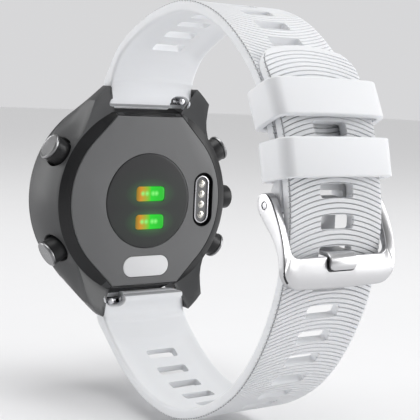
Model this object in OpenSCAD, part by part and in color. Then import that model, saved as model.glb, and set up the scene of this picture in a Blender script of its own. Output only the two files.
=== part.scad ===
// Round five-button running watch on a buckled silicone strap.
// Millimetres. The origin is the centre of the back, on the skin side: +Y points at the wrist,
// +Z at 12 o'clock and +X at 3 o'clock, so the display faces -Y.

/* [Case] */
// Largest radius of the case, at the rim of its flared wall
case_r = 22; // [19:0.1:27]
// How much the wall flares from the back step to the rim
flare = 1.6; // [0.6:0.1:2.4]
// Radial width of the sloped step around the back cover
step_w = 2.3; // [1.5:0.1:3]
// Drop of the sloped step towards the display
step_drop = 1.35; // [0.8:0.05:1.8]
// Depth from the back cover's face to the bezel's seat
case_depth = 11.4; // [10.8:0.1:14]
// Thickness of the case wall at the back step
wall = 2.0; // [1.6:0.1:2.4]
// Height cut off the back cover's circle at 6 and 12 o'clock
cover_cut = 0.2; // [0.1:0.1:1.5]
// Half width of the flats at 6 and 12 o'clock
flat_half = 7.95; // [5:0.05:10]
// Thickness of the back cover
cover_t = 1.3; // [1:0.1:1.6]

/* [Lugs] */
// Radial thickness of the case end wall between the lugs
end_wall = 0.6; // [0.4:0.1:1.2]
// Gap from the end wall to the spring bar's axis
bar_gap = 2.7; // [2.3:0.1:4]
// Length of a lug past its spring bar
lug_past = 2.9; // [2.4:0.1:5]
// Gap on each side between a lug and the strap
lug_gap = 0.3; // [0.15:0.05:0.6]
// Depth of the spring bar's axis below the back cover's face
bar_depth = 2.0; // [1.6:0.1:3]
// Depth of the strap's well between the lugs
well_depth = 5.2; // [4.6:0.1:6]

/* [Front] */
// Radial width of the bezel ring
bezel_w = 3.4; // [2.6:0.1:5]
// Height of the bezel over its seat
bezel_h = 1.8; // [1.2:0.1:2.6]
// Thickness of the display cover
lens_t = 1.1; // [0.8:0.1:1.5]

/* [Back] */
// Radius of the sensor window
window_r = 10.05; // [8:0.05:11]
// Thickness of the sensor window
window_t = 0.8; // [0.5:0.1:1]
// Length of a light guide
light_w = 6.9; // [4:0.1:8]
// Height of a light guide
light_h = 3.1; // [2:0.1:4]
// Distance between the light guides' centres
light_pitch = 6.0; // [4.5:0.1:7]
// Length of the charging socket
socket_len = 11.9; // [9:0.1:14]
// Width of the charging socket
socket_w = 5.0; // [4:0.1:5.4]
// Distance from the back cover's edge to the charging socket's centre
socket_in = 4.15; // [3.9:0.05:6]
// Depth of the charging socket's floor
socket_deep = 0.9; // [0.6:0.1:1]
// Distance between charging contacts
contact_pitch = 2.26; // [1.8:0.02:2.5]
// Length of the blank label
label_w = 11.1; // [7:0.1:12]
// Height of the blank label
label_h = 4.4; // [2.5:0.1:5]

/* [Buttons] */
// Radius of a button's cap
cap_r = 2.8; // [2:0.1:3.2]
// How far a button stands out of the wall
btn_out = 3.0; // [1.5:0.1:4]
// Depth of the buttons' axes below the back cover's face
btn_depth = 5.0; // [4.6:0.1:6]
// Angle of the upper and lower buttons from 3 and 9 o'clock
btn_angle = 28; // [24:1:31]
// Travel of a button
btn_travel = 0.5; // [0.3:0.05:0.7]
// Radius of a button's stem
stem_r = 1.0; // [0.7:0.05:1.2]

/* [Strap] */
// Width of the strap
strap_w = 20; // [16:0.5:24]
// Thickness of the strap's band
band_t = 2.0; // [1.6:0.1:2.8]
// Thickness of the strap at its spring bar
root_t = 3.8; // [3.4:0.1:4.4]
// Distance between slots along the strap
slot_pitch = 5.0; // [4.5:0.1:7]
// Width of a slot
slot_w = 6.8; // [4:0.1:8]
// Length of a slot along the strap
slot_len = 2.3; // [1.9:0.1:2.8]
// Gap between the overlapping halves
lap_gap = 0.3; // [0.25:0.05:0.5]

/* [Keepers] */
// Length of a keeper along the strap
keeper_len = 6.6; // [4:0.1:7]
// Wall of a keeper
keeper_t = 1.4; // [1:0.1:2]
// Travel of a keeper each way
keeper_travel = 0.6; // [0.2:0.1:0.8]

/* [Buckle] */
// Radius of the buckle's pin
pin_r = 0.75; // [0.5:0.05:0.9]
// Thickness of a side arm
arm_t = 1.7; // [1.2:0.1:2.4]
// Width of the buckle's bar along the strap
bar_len = 4.8; // [3:0.1:6]
// Thickness of the buckle's bar
bar_t = 1.3; // [1:0.1:2]
// Width of the prong
prong_w = 5.6; // [3.4:0.1:6]

/* [Inside] */
// Radius of the display
display_r = 16.2; // [14:0.1:17]
// Thickness of the battery
battery_t = 3.4; // [2.5:0.1:3.6]
// Running clearance around shafts, on the radius
fit = 0.05; // [0.03:0.01:0.08]

/* [Hidden] */
$fn = 72;

DARK = [0.27, 0.27, 0.28];
GREY = [0.42, 0.42, 0.43];
STEEL = [0.78, 0.78, 0.79];
WHITE = [0.92, 0.92, 0.93];

// small working sizes
hair = 0.02;                      // clearance between seated pieces
cut = 1;                          // overrun of a cutting shape
cover_r = case_r - flare - step_w;
step_r = cover_r + step_w;
flat_z = cover_r - cover_cut;
socket_x = cover_r - socket_in;
well_z = flat_z + end_wall;
bar_z = well_z + bar_gap;
root_r = root_t / 2;
room_r = step_r - wall;           // radius of the room inside the case
ledge_r = cover_r - 1.2;          // opening in the ledge under the back cover
lug_x = strap_w / 2 + lug_gap;    // inner face of a lug
seat_deep = well_depth + 1.4;     // depth past which the room is fully round
lens_r = case_r - bezel_w;

// one angle for each button, counted from 3 o'clock
start_a = btn_angle;
return_a = -btn_angle;
up_a = 180;
light_a = 180 - btn_angle;
down_a = 180 + btn_angle;
btn_angles = [start_a, return_a, light_a, up_a, down_a];

// radii along a button's axis
wall_r = step_r + flare * (btn_depth - step_drop) / (case_depth - step_drop);
cap_face = wall_r + btn_out;
cap_t = 0.7;
pocket_r = cap_r + 0.35;
pocket_floor = room_r + 1.25;
stem_end = room_r - 1.3;
barrel_start = pocket_floor + btn_travel + 0.1;
seal_rad = 0.35;

module from_back(depth) { translate([0, -depth, 0]) rotate([90, 0, 0]) children(); }
module radial(angle) {
    rotate([0, -angle, 0]) translate([0, -btn_depth, 0]) rotate([0, 90, 0]) children();
}
module along_x(x) { translate([x, 0, 0]) rotate([0, 90, 0]) children(); }
module both_ends() {
    children();
    mirror([0, 0, 1]) children();
}
module quarters() {
    both_ends() {
        children();
        mirror([1, 0, 0]) children();
    }
}
module pill(w, h) {
    radius = min(w, h) / 2;
    span = (max(w, h) - 2 * radius) / 2;
    turn = w > h ? 0 : 90;
    rotate([0, 0, turn]) {
        square([2 * span, 2 * radius], center = true);
        for (side = [-1, 1]) translate([side * span, 0]) circle(radius);
    }
}
module ring(outer, inner, h) {
    difference() {
        cylinder(h = h, r = outer);
        translate([0, 0, -cut]) cylinder(h = h + 2 * cut, r = inner);
    }
}

// ---- case ----

// Outline of the back cover: a circle with flats and the tangents from their corners
module cover_outline(grow = 0) {
    r = cover_r + grow;
    flat = flat_z + grow;
    corner = [flat_half, flat];
    tangent = atan2(corner[1], corner[0]) - acos(r / norm(corner));
    touch = [r * cos(tangent), r * sin(tangent)];
    sides = [corner, touch, [touch[0], -touch[1]], [corner[0], -corner[1]]];
    opposite = [for (i = [3:-1:0]) [-sides[i][0], sides[i][1]]];
    intersection() {
        union() {
            circle(r);
            polygon(concat(sides, opposite));
        }
        square([3 * r, 2 * flat], center = true);
    }
}

// Side view of the case wall, radius against depth, with a bulge of half a millimetre
module case_profile() {
    steps = 8;
    bulge = 0.45;
    wall_line = [for (i = [0:steps]) let (t = i / steps)
        [step_r + flare * t + bulge * sin(180 * t),
         step_drop + (case_depth - step_drop) * t]];
    polygon(concat([[0, 0.3], [cover_r + 0.3, 0.3]], wall_line, [[0, case_depth]]));
}

// One lug seen from the back, in the +X +Z quarter
module lug_outline() {
    tip_z = bar_z + lug_past;
    polygon([[lug_x, well_z - 3], [lug_x, tip_z - 0.4], [lug_x + 0.4, tip_z],
        [lug_x + 1.2, tip_z - 0.6], [lug_x + 3.6, tip_z - 3.3],
        [case_r * 0.69, case_r * 0.664], [case_r * 0.75, case_r * 0.568],
        [step_r - 3, case_r * 0.3]]);
}

module lugs() {
    quarters() difference() {
        intersection() {
            from_back(0.1) linear_extrude(case_depth - 1.5) lug_outline();
            // a lug narrows towards the display
            from_back(0) cylinder(h = case_depth, r1 = bar_z + lug_past + 2.6,
                r2 = case_r + 1.2);
        }
        // the back of a lug dips towards the step around the back cover
        rotate([90, 0, 0]) rotate_extrude() polygon([[0, -2], [0, step_drop],
            [step_r, step_drop], [step_r + 6, step_drop - 2.4], [step_r + 6, -2]]);
        // its end slopes towards the display
        translate([lug_x - cut, -5, bar_z + lug_past]) rotate([28, 0, 0]) cube([20, 20, 10]);
    }
}

module case() color(DARK) difference() {
    union() {
        rotate([90, 0, 0]) rotate_extrude($fn = 120) case_profile();
        lugs();
    }
    // seat of the back cover, and the room behind it
    from_back(-cut) linear_extrude(cover_t + cut) cover_outline(hair);
    from_back(0) linear_extrude(seat_deep + cut) intersection() {
        circle(ledge_r);
        square([3 * case_r, 2 * (flat_z - 1.2)], center = true);
    }
    from_back(seat_deep) cylinder(h = 2.4 + hair, r = room_r);
    from_back(cover_t + 1) linear_extrude(seat_deep) intersection() {
        circle(room_r);
        square([3 * case_r, 2 * (flat_z - 1.2)], center = true);
    }
    // seat of the display
    from_back(seat_deep + 2.4) cylinder(h = case_depth, r = lens_r - 0.6);
    // wells for the strap's ends
    both_ends() translate([-lug_x, -well_depth, well_z]) cube([2 * lug_x, 20, 20]);
    // spring bar holes in the lugs
    both_ends() translate([0, -bar_depth, bar_z]) along_x(-lug_x - 1.6)
        cylinder(h = 2 * lug_x + 3.2, r = 0.4 + fit);
    // button pockets, stem bores and seal grooves
    for (a = btn_angles) radial(a) {
        translate([0, 0, pocket_floor]) cylinder(h = 10, r = pocket_r);
        translate([0, 0, room_r - 3]) cylinder(h = 10, r = stem_r + fit);
        translate([0, 0, room_r + 0.3]) cylinder(h = 2 * seal_rad, r = stem_r + 2 * seal_rad);
    }
}

module bezel() color([0.2, 0.2, 0.21]) from_back(case_depth + hair)
    rotate_extrude($fn = 120) polygon([[lens_r, 0], [case_r, 0], [case_r + 0.05, 0.5],
        [case_r - 0.3, bezel_h - 0.5], [case_r - 1.1, bezel_h], [lens_r, bezel_h - 0.4]]);

module display_lens() color([0.05, 0.05, 0.06])
    from_back(case_depth + hair) cylinder(h = lens_t, r = lens_r - hair, $fn = 120);

module display_panel() color([0.1, 0.11, 0.12])
    from_back(case_depth - 1.5) cylinder(h = 1.4, r = display_r);

module inner_frame() color([0.12, 0.12, 0.13]) difference() {
    from_back(seat_deep + 0.6) ring(room_r - 0.1, room_r - 2.6, 1.7);
    for (a = btn_angles) radial(a) cylinder(h = 2 * case_r, r = stem_r + 1);
}

// ---- inner stack ----

board_deep = 3.0;
board_t = 0.8;
screw_r = 0.7;
screw_ring = 13.4;
screw_angles = [60, 120, 240, 300];
board_r = min(stem_end - 1.6, flat_z - 2);

module board_holes(r) {
    for (a = screw_angles) rotate(a) translate([screw_ring, 0]) circle(r, $fn = 32);
}

module circuit_board() color([0.05, 0.3, 0.15]) union() {
    from_back(board_deep) linear_extrude(board_t) difference() {
        circle(board_r);
        board_holes(screw_r + hair);
    }
    // processor, radio and memory packages
    from_back(board_deep - 0.6) linear_extrude(0.6) {
        translate([6.5, 4]) square([5, 5], center = true);
        translate([6.5, -3]) square([4, 4], center = true);
        translate([-3, -9]) square([3.4, 4.4], center = true);
    }
}

module board_screws() color(STEEL) for (a = screw_angles)
    from_back(board_deep - 0.5) rotate(a) translate([screw_ring, 0, 0]) {
        difference() {
            cylinder(h = 0.5, r = 1.25, $fn = 32);
            translate([-0.15, -cut, -0.2]) cube([0.3, 2 * cut, 0.4]);
        }
        cylinder(h = 2.4, r = screw_r, $fn = 32);
    }

module battery() color([0.6, 0.61, 0.64]) translate([2.6, 0, 0])
    from_back(board_deep + board_t + 0.2) linear_extrude(battery_t)
        offset(r = 1.5) square([14, 18], center = true);

module antenna_ring() color([0.72, 0.55, 0.3])
    from_back(seat_deep + 0.1) ring(room_r - 0.1, room_r - 1.1, 0.45);

motor_place = [-9.6, -board_deep - board_t - 2.2, -3];
motor_r = 1.9;

module motor_can() color(STEEL) translate(motor_place) difference() {
    translate([0, 0, -1]) cylinder(h = 7, r = motor_r, $fn = 48);
    translate([0, 0, -2]) cylinder(h = 7.5, r = 0.4 + fit, $fn = 48);
}

module motor_weight() color([0.45, 0.45, 0.47]) translate(motor_place) {
    translate([0, 0, -5]) cylinder(h = 9.8, r = 0.4, $fn = 48);
    translate([0, 0, -4.6]) rotate_extrude(angle = 180, $fn = 48) square([1.8, 3.2]);
}

module beeper_disc() color([0.75, 0.65, 0.35])
    from_back(board_deep + board_t + 0.1) translate([-8.7, 7.4, 0]) cylinder(h = 0.7, r = 2.3);

// ---- back ----

module lozenges(grow = 0) {
    for (side = [-1, 1]) translate([-0.5, side * light_pitch / 2 - 1.5])
        square([light_w + 2 * grow, light_h + 2 * grow], center = true);
}

module back_cover() color(GREY) difference() {
    from_back(0) linear_extrude(cover_t - hair) cover_outline();
    from_back(-cut) cylinder(h = window_t + cut, r = window_r + hair);
    from_back(-cut) cylinder(h = cover_t + 2 * cut, r = window_r - 1.2);
    translate([-socket_x, 0, 0]) from_back(-cut) linear_extrude(cover_t + 2 * cut)
        pill(socket_w, socket_len);
    translate([0, 0, -(flat_z + window_r) / 2]) from_back(-cut) linear_extrude(cut + 0.15)
        pill(label_w + 2 * hair, label_h + 2 * hair);
}

module back_seal() color([0.1, 0.1, 0.1]) from_back(cover_t + 0.06) linear_extrude(0.5)
    difference() {
        intersection() {
            circle(ledge_r - 0.1);
            square([3 * case_r, 2 * (flat_z - 1.3)], center = true);
        }
        intersection() {
            circle(ledge_r - 0.7);
            square([3 * case_r, 2 * (flat_z - 1.9)], center = true);
        }
        translate([-socket_x, 0]) pill(socket_w + 0.2, socket_len + 0.2);
    }

module sensor_window() color([0.1, 0.1, 0.11]) from_back(0) linear_extrude(window_t - hair)
    difference() {
        circle(window_r, $fn = 96);
        lozenges(hair);
    }

module light_guides() color([0.3, 0.95, 0.35])
    from_back(0.02) linear_extrude(1.2) lozenges();

module sensor_board() color([0.05, 0.28, 0.16]) union() {
    from_back(1.45) cylinder(h = 0.5, r = window_r - 1.6);
    // light detectors to the sides of the light guides
    for (side = [-1, 1]) translate([side * 6, 0, 0]) from_back(0.9)
        linear_extrude(0.6) square([2.4, 2.8], center = true);
}

module charge_socket() color([0.03, 0.03, 0.03]) translate([-socket_x, 0, 0]) difference() {
    from_back(0.02) linear_extrude(2.3) pill(socket_w - 2 * hair, socket_len - 2 * hair);
    from_back(-cut) linear_extrude(socket_deep + cut) pill(socket_w - 1.1, socket_len - 1.1);
}

module charge_ring() color(STEEL) translate([-socket_x, 0, 0])
    from_back(socket_deep - 0.35) linear_extrude(0.33) difference() {
        pill(socket_w - 1.7, socket_len - 1.7);
        pill(socket_w - 2.2, socket_len - 2.2);
    }

module charge_contacts() color([0.85, 0.82, 0.7]) for (i = [-1.5:1:1.5])
    translate([-socket_x, 0, i * contact_pitch]) from_back(socket_deep - 0.25)
        cylinder(h = 0.23, r = 0.62, $fn = 32);

module back_label() color(WHITE) translate([0, 0, -(flat_z + window_r) / 2])
    from_back(0) linear_extrude(0.13) pill(label_w, label_h);

// ---- buttons ----

module button_seals() color([0.1, 0.1, 0.1]) for (a = btn_angles)
    radial(a) translate([0, 0, room_r + 0.3 + seal_rad]) rotate_extrude($fn = 40)
        translate([stem_r + hair + seal_rad, 0]) circle(seal_rad - hair, $fn = 24);

module button_switches() color([0.7, 0.7, 0.68]) for (a = btn_angles)
    radial(a) translate([0, 0, stem_end - btn_travel - 1.3]) {
        translate([-1.3, -1.1, 0]) cube([2.6, 2.2, 1]);
        cylinder(h = 1.25, r = 0.6, $fn = 32);
    }

// Stem and barrel of a button, with a groove for its clip
module plunger(a, top) {
    radial(a) difference() {
        union() {
            translate([0, 0, stem_end]) cylinder(h = barrel_start - stem_end + 1, r = stem_r);
            translate([0, 0, barrel_start]) cylinder(h = top - barrel_start, r = cap_r - 0.15);
        }
        translate([0, 0, room_r - btn_travel - 0.45]) ring(stem_r + 1, stem_r - 0.3, 0.35);
    }
}
module metal_cap(a) {
    radial(a) translate([0, 0, cap_face - cap_t]) {
        cylinder(h = cap_t - 0.25, r = cap_r);
        translate([0, 0, cap_t - 0.25]) cylinder(h = 0.25, r1 = cap_r, r2 = cap_r - 0.3);
    }
}
module clip(a) {
    radial(a) translate([0, 0, room_r - btn_travel - 0.44])
        ring(stem_r + 0.7, stem_r - 0.29, 0.33);
}

capped_top = cap_face - cap_t - hair;
module start_button() color(DARK) plunger(start_a, capped_top);
module start_cap() color(STEEL) metal_cap(start_a);
module start_clip() color(STEEL) clip(start_a);
module return_button() color(DARK) plunger(return_a, capped_top);
module return_cap() color(STEEL) metal_cap(return_a);
module return_clip() color(STEEL) clip(return_a);
module light_button() color(DARK) plunger(light_a, capped_top);
module light_cap() color(STEEL) metal_cap(light_a);
module light_clip() color(STEEL) clip(light_a);
module down_button() color(DARK) plunger(down_a, capped_top);
module down_cap() color(STEEL) metal_cap(down_a);
module down_clip() color(STEEL) clip(down_a);
module up_button() color(GREY) plunger(up_a, cap_face - 0.3);
module up_clip() color(STEEL) clip(up_a);

// ---- strap paths, as [y, z] on the face towards the wrist ----

// Point number u, a fraction allowed, of a smooth curve through the points p
function curve(p, u) = let (i = min(floor(u), len(p) - 2), t = u - i,
    a = p[max(i - 1, 0)], b = p[i], c = p[i + 1], d = p[min(i + 2, len(p) - 1)])
    0.5 * (2 * b + (c - a) * t + (2 * a - 5 * b + 4 * c - d) * t * t
        + (3 * b - a - 3 * c + d) * t * t * t);
function slope(p, u) = let (e = 0.01, last = len(p) - 1,
    d = curve(p, min(u + e, last)) - curve(p, max(u - e, 0))) d / norm(d);
// Point beside the curve, on its left for a positive distance
function beside(p, u, dist) = let (s = slope(p, u)) curve(p, u) + dist * [-s[1], s[0]];
// Table of [distance along the curve, u]
function ruler(p, u = 0, dist = 0, step = 0.1) = u > len(p) - 1 ? [] :
    concat([[dist, u]], ruler(p, u + step,
        dist + norm(curve(p, min(u + step, len(p) - 1)) - curve(p, u)), step));

// the buckle half, from its spring bar over the top to the buckle's pin
root_y = root_r - bar_depth;
buckle_path = [for (q = [[root_y, 0], [root_y + 0.15, 3.4], [3.4, 8.8], [10, 12.9],
    [17.4, 15.6], [26.5, 16.8], [35.5, 14.7], [43.1, 10], [48.9, 4.1], [52.4, -2.2],
    [54.7, -8.8], [55.4, -15.2]]) [q[0], q[1] + bar_z]];
buckle_ruler = ruler(buckle_path);
buckle_end = buckle_ruler[len(buckle_ruler) - 1][0];
pin_at = [56.2, bar_z - 15.5];
pin_root_r = 1.6;

// the tail half, round the bottom and then along the buckle half's outer face
lap_from = 10.1;
lap_to = 7.35;
tail_free = [for (q = [[root_y, 0], [root_y + 0.4, 3], [4.4, 7], [11, 11.3], [19, 14.2],
    [28.2, 14.7], [37.8, 11.6], [46.4, 5.8], [52.5, -2], [56.6, -11], [58.2, -19]])
    [q[0], -q[1] - bar_z]];
tail_lap = [for (u = [lap_from:-0.55:lap_to]) beside(buckle_path, u, band_t + lap_gap)];
tail_path = concat(tail_free, [[pin_at[0] + 2.15, pin_at[1] - 1]], tail_lap);
tail_ruler = ruler(tail_path);
tail_end = tail_ruler[len(tail_ruler) - 1][0];

// Thickness of a strap half at a distance from its spring bar
function strap_t(dist) = band_t + (root_t - band_t) * pow(max(0, 1 - dist / 13), 2);

// Side view of a strap half; side is 1 where its outer face is on the left of the path
module strap_side(p, table, side, from, to) {
    count = 72;
    dists = [for (i = [0:count]) from + (to - from) * i / count];
    inner = [for (d = dists) curve(p, lookup(d, table))];
    outer = [for (i = [count:-1:0])
        beside(p, lookup(dists[i], table), side * strap_t(dists[i]))];
    polygon(concat(inner, outer));
}
// Children stand on the path at a distance, with +Y along it and +Z to its left
module on_path(p, table, dist) {
    u = lookup(dist, table);
    at = curve(p, u);
    s = slope(p, u);
    translate([0, at[0], at[1]]) rotate([atan2(s[1], s[0]), 0, 0]) children();
}
module sideways(width) {
    translate([-width / 2, 0, 0]) rotate([90, 0, 90]) linear_extrude(width) children();
}
module slots(p, table, first, last) {
    for (d = [first:slot_pitch:last]) on_path(p, table, d)
        cube([slot_w, slot_len, 4 * band_t], center = true);
}

qr_x = 7.0;                        // middle of the quick-release notch
qr_w = 4.2;                        // its width
qr_travel = 1.6;
bar_r = 0.75;
tip_r = 0.4;

// Spring bar bore and quick-release notch, on the +X side
module root_cuts() {
    translate([0, -bar_depth, bar_z]) {
        along_x(-strap_w) cylinder(h = 2 * strap_w, r = bar_r + fit);
        translate([qr_x - qr_w / 2, 0, -1.1]) cube([qr_w, root_t, 2.2]);
    }
}

module buckle_strap() color(WHITE) difference() {
    union() {
        sideways(strap_w) strap_side(buckle_path, buckle_ruler, 1, 0, buckle_end);
        translate([0, -bar_depth, bar_z]) along_x(-strap_w / 2)
            cylinder(h = strap_w, r = root_r);
        translate([0, pin_at[0], pin_at[1]]) along_x(-strap_w / 2)
            cylinder(h = strap_w, r = pin_root_r);
    }
    mirror([1, 0, 0]) root_cuts();
    translate([0, pin_at[0], pin_at[1]]) {
        along_x(-strap_w) cylinder(h = 2 * strap_w, r = pin_r + fit);
        translate([-prong_w / 2 - 0.5, -5, -5]) cube([prong_w + 1, 10, 7.4]);
    }
    slots(buckle_path, buckle_ruler, 13, buckle_end - 8);
}

// the slot that the prong stands in lies this far along the tail
prong_z = pin_at[1] - 7.6;
prong_slot = lookup(prong_z, [for (row = [for (r = tail_ruler) if (r[1] > 9) r])
    [curve(tail_path, row[1])[1], row[0]]]);
slot_start = prong_slot - slot_pitch * floor((prong_slot - 12) / slot_pitch);

module tail_strap() color(WHITE) difference() {
    union() {
        sideways(strap_w) strap_side(tail_path, tail_ruler, -1, 0, tail_end);
        translate([0, -bar_depth, -bar_z]) along_x(-strap_w / 2)
            cylinder(h = strap_w, r = root_r);
    }
    mirror([0, 0, 1]) root_cuts();
    slots(tail_path, tail_ruler, slot_start, tail_end - 10);
    // rounded tip
    on_path(tail_path, tail_ruler, tail_end - 8) difference() {
        translate([-strap_w, 2, -10]) cube([2 * strap_w, 20, 20]);
        translate([0, 0, -11]) linear_extrude(22) intersection() {
            translate([0, -strap_w / 2 + 7.4]) circle(strap_w * 0.62, $fn = 96);
            square([strap_w, 40], center = true);
        }
    }
}

// ---- spring bars ----

// Tube of a spring bar with its fixed tip on the -X side and a window for the knob
module spring_bar() {
    tube_half = strap_w / 2 - 0.3;
    translate([0, -bar_depth, bar_z]) difference() {
        union() {
            along_x(-tube_half) cylinder(h = 2 * tube_half, r = bar_r, $fn = 48);
            along_x(-lug_x - 1.2) cylinder(h = 2, r = tip_r, $fn = 48);
        }
        along_x(qr_x - 4.5) cylinder(h = 20, r = tip_r + fit, $fn = 48);
        translate([qr_x - 1.5, 0, -0.5]) cube([3.1, 2, 1]);
    }
}
module spring_bar_pin() {
    translate([0, -bar_depth, bar_z]) {
        along_x(qr_x - 0.8) cylinder(h = lug_x + 1.2 - qr_x + 0.8, r = tip_r, $fn = 48);
        translate([qr_x + 0.85, 0, 0]) rotate([-90, 0, 0])
            cylinder(h = root_r - 0.35, r = 0.45, $fn = 32);
        translate([qr_x + 0.85, root_r - 0.75, 0]) rotate([-90, 0, 0])
            cylinder(h = 0.45, r = 0.65, $fn = 32);
    }
}
module upper_bar() color(STEEL) mirror([1, 0, 0]) spring_bar();
module upper_bar_pin() color(STEEL) mirror([1, 0, 0]) spring_bar_pin();
module lower_bar() color(STEEL) mirror([0, 0, 1]) spring_bar();
module lower_bar_pin() color(STEEL) mirror([0, 0, 1]) spring_bar_pin();

// ---- keepers ----

stack_t = 2 * band_t + lap_gap;
keeper_gap = 0.45;
keeper_half = strap_w / 2 + keeper_gap;
lower_keeper_at = buckle_end - 2.7 - keeper_travel - keeper_len / 2;
upper_keeper_at = lower_keeper_at - keeper_len - 2 * keeper_travel - 1.2;

// Cross-section of a keeper, with a crowned outer wall
module keeper_section() {
    low = -keeper_gap - keeper_t;
    high = stack_t + keeper_gap + keeper_t;
    wide = keeper_half + keeper_t;
    crown = 0.5;
    crown_r = (wide * wide + crown * crown) / (2 * crown);
    difference() {
        intersection() {
            translate([0, (low + high) / 2]) offset(r = 1.2)
                square([2 * wide - 2.4, high - low + 2 * crown - 2.4], center = true);
            translate([0, high + crown - crown_r]) circle(crown_r, $fn = 720);
            translate([-wide, low]) square([2 * wide, high - low + crown]);
        }
        translate([-keeper_half, -keeper_gap])
            square([2 * keeper_half, stack_t + 2 * keeper_gap]);
    }
}
module keeper(dist) {
    on_path(buckle_path, buckle_ruler, dist) translate([0, keeper_len / 2, 0])
        rotate([90, 0, 0]) linear_extrude(keeper_len) keeper_section();
}
module upper_keeper() color(WHITE) keeper(upper_keeper_at);
module lower_keeper() color(WHITE) keeper(lower_keeper_at);

// ---- buckle ----

arm_in = strap_w / 2 + 0.4;
arm_r = 2.0;
tail_out_y = beside(tail_path, lookup(prong_slot, tail_ruler), -band_t)[0];
bar_in_y = tail_out_y + 0.35;
bar_out_y = bar_in_y + bar_t;
bar_top = prong_z - 0.75;
bar_low = bar_top - bar_len;
shoulder = pin_at[1] - 4.6;

// Side view of an arm: round about the pin, then down and out to the bar
module arm_side() {
    diagonal = arm_r * sin(45);
    polygon([[pin_at[0] - diagonal, pin_at[1] - diagonal],
        [bar_in_y - 0.9, shoulder - 2.9], [bar_in_y, bar_top - 1], [bar_in_y, bar_low],
        [bar_out_y, bar_low], [bar_out_y, shoulder],
        [pin_at[0] + diagonal, pin_at[1] + diagonal]]);
    translate(pin_at) circle(arm_r);
}

module buckle_frame() color(STEEL) difference() {
    union() {
        for (side = [-1, 1]) translate([side * (arm_in + arm_t / 2), 0, 0])
            sideways(arm_t) arm_side();
        translate([-arm_in - hair, bar_in_y, bar_low])
            cube([2 * arm_in + 2 * hair, bar_t, bar_len]);
        // bulge of the bar's lower edge
        translate([0, bar_out_y, 0]) rotate([90, 0, 0]) linear_extrude(bar_t)
            intersection() {
                translate([0, bar_low + 70 - 0.8]) circle(70, $fn = 360);
                translate([-arm_in, bar_low - 2]) square([2 * arm_in, 3]);
            }
    }
    translate([0, pin_at[0], pin_at[1]]) along_x(-strap_w)
        cylinder(h = 2 * strap_w, r = pin_r + hair);
    // seat of the prong
    translate([-prong_w / 2 - 0.3, bar_out_y - 0.4, bar_top - bar_len * 0.62])
        cube([prong_w + 0.6, 1, bar_len]);
    // rounded lower corners
    for (side = [-1, 1]) translate([side * (arm_in + arm_t), bar_out_y + cut, bar_low])
        rotate([90, 0, 0]) linear_extrude(bar_t + 2 * cut) difference() {
            square(3.2, center = true);
            translate([-side * 1.6, 1.6]) circle(1.6);
        }
}

module buckle_pin() color(STEEL) translate([0, pin_at[0], pin_at[1]])
    along_x(-arm_in - arm_t) cylinder(h = 2 * (arm_in + arm_t), r = pin_r);

prong_t = 0.8;
module buckle_prong() color(STEEL) difference() {
    low_z = prong_z - prong_t / 2;
    tip_z = bar_top - bar_len * 0.55;
    run_y = pin_at[0] + 0.45;
    union() {
        translate([0, pin_at[0], pin_at[1]]) along_x(-prong_w / 2)
            cylinder(h = prong_w, r = pin_r + 0.75);
        sideways(prong_w) polygon([[run_y - 1, pin_at[1] - 1], [run_y, pin_at[1] - 1],
            [run_y, low_z + prong_t + 0.4], [run_y + 0.4, low_z + prong_t],
            [bar_out_y + 0.5, low_z + prong_t], [bar_out_y + 0.55, low_z],
            [bar_out_y + 0.45, tip_z], [bar_out_y - 0.35, tip_z], [bar_out_y - 0.35, low_z],
            [run_y - 0.4, low_z], [run_y - 1, low_z + 0.6]]);
    }
    translate([0, pin_at[0], pin_at[1]]) along_x(-strap_w)
        cylinder(h = 2 * strap_w, r = pin_r + fit);
}

case();
bezel();
display_lens();
display_panel();
inner_frame();
circuit_board();
board_screws();
battery();
antenna_ring();
motor_can();
motor_weight();
beeper_disc();
back_cover();
back_seal();
sensor_window();
light_guides();
sensor_board();
charge_socket();
charge_ring();
charge_contacts();
back_label();
button_seals();
button_switches();
start_button();
start_cap();
start_clip();
return_button();
return_cap();
return_clip();
light_button();
light_cap();
light_clip();
down_button();
down_cap();
down_clip();
up_button();
up_clip();
upper_bar();
upper_bar_pin();
lower_bar();
lower_bar_pin();
buckle_strap();
tail_strap();
upper_keeper();
lower_keeper();
buckle_frame();
buckle_pin();
buckle_prong();
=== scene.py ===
"""Looks of a five-button running watch on a buckled silicone strap, built around its frame.

Pieces are modelled in millimetres and turned into metres when they are placed. The frame is the
CAD model's: +X is 3 o'clock, +Z is 12 o'clock, the wrist is on +Y and the display faces -Y.
"""

import logging
import math
from bisect import bisect_left
from collections.abc import Callable, Iterable, Sequence
from dataclasses import dataclass, field
from enum import Enum

import bmesh
import bpy
from mathutils import Matrix, Vector


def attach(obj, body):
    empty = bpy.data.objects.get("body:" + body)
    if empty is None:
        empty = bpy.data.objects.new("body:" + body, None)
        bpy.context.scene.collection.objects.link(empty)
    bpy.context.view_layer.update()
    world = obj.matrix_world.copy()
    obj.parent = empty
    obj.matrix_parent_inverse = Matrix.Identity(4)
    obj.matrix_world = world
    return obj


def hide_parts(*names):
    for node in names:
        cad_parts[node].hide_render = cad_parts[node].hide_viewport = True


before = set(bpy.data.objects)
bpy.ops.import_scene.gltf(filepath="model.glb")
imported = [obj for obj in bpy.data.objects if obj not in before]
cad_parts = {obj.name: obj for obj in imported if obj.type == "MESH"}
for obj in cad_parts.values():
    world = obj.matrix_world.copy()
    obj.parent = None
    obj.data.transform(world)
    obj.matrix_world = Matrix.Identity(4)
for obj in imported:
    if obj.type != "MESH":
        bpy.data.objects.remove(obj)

LOG = logging.getLogger("watch")
MM = 0.001
TOUCH = 1e-6                        # two heights this near are the same, in millimetres
WELD = 1e-5                         # two corners this near become one, in millimetres
BAR_Z, BAR_DEPTH = 21.2, 2.0        # a spring bar's place, up from the middle and into the case
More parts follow.
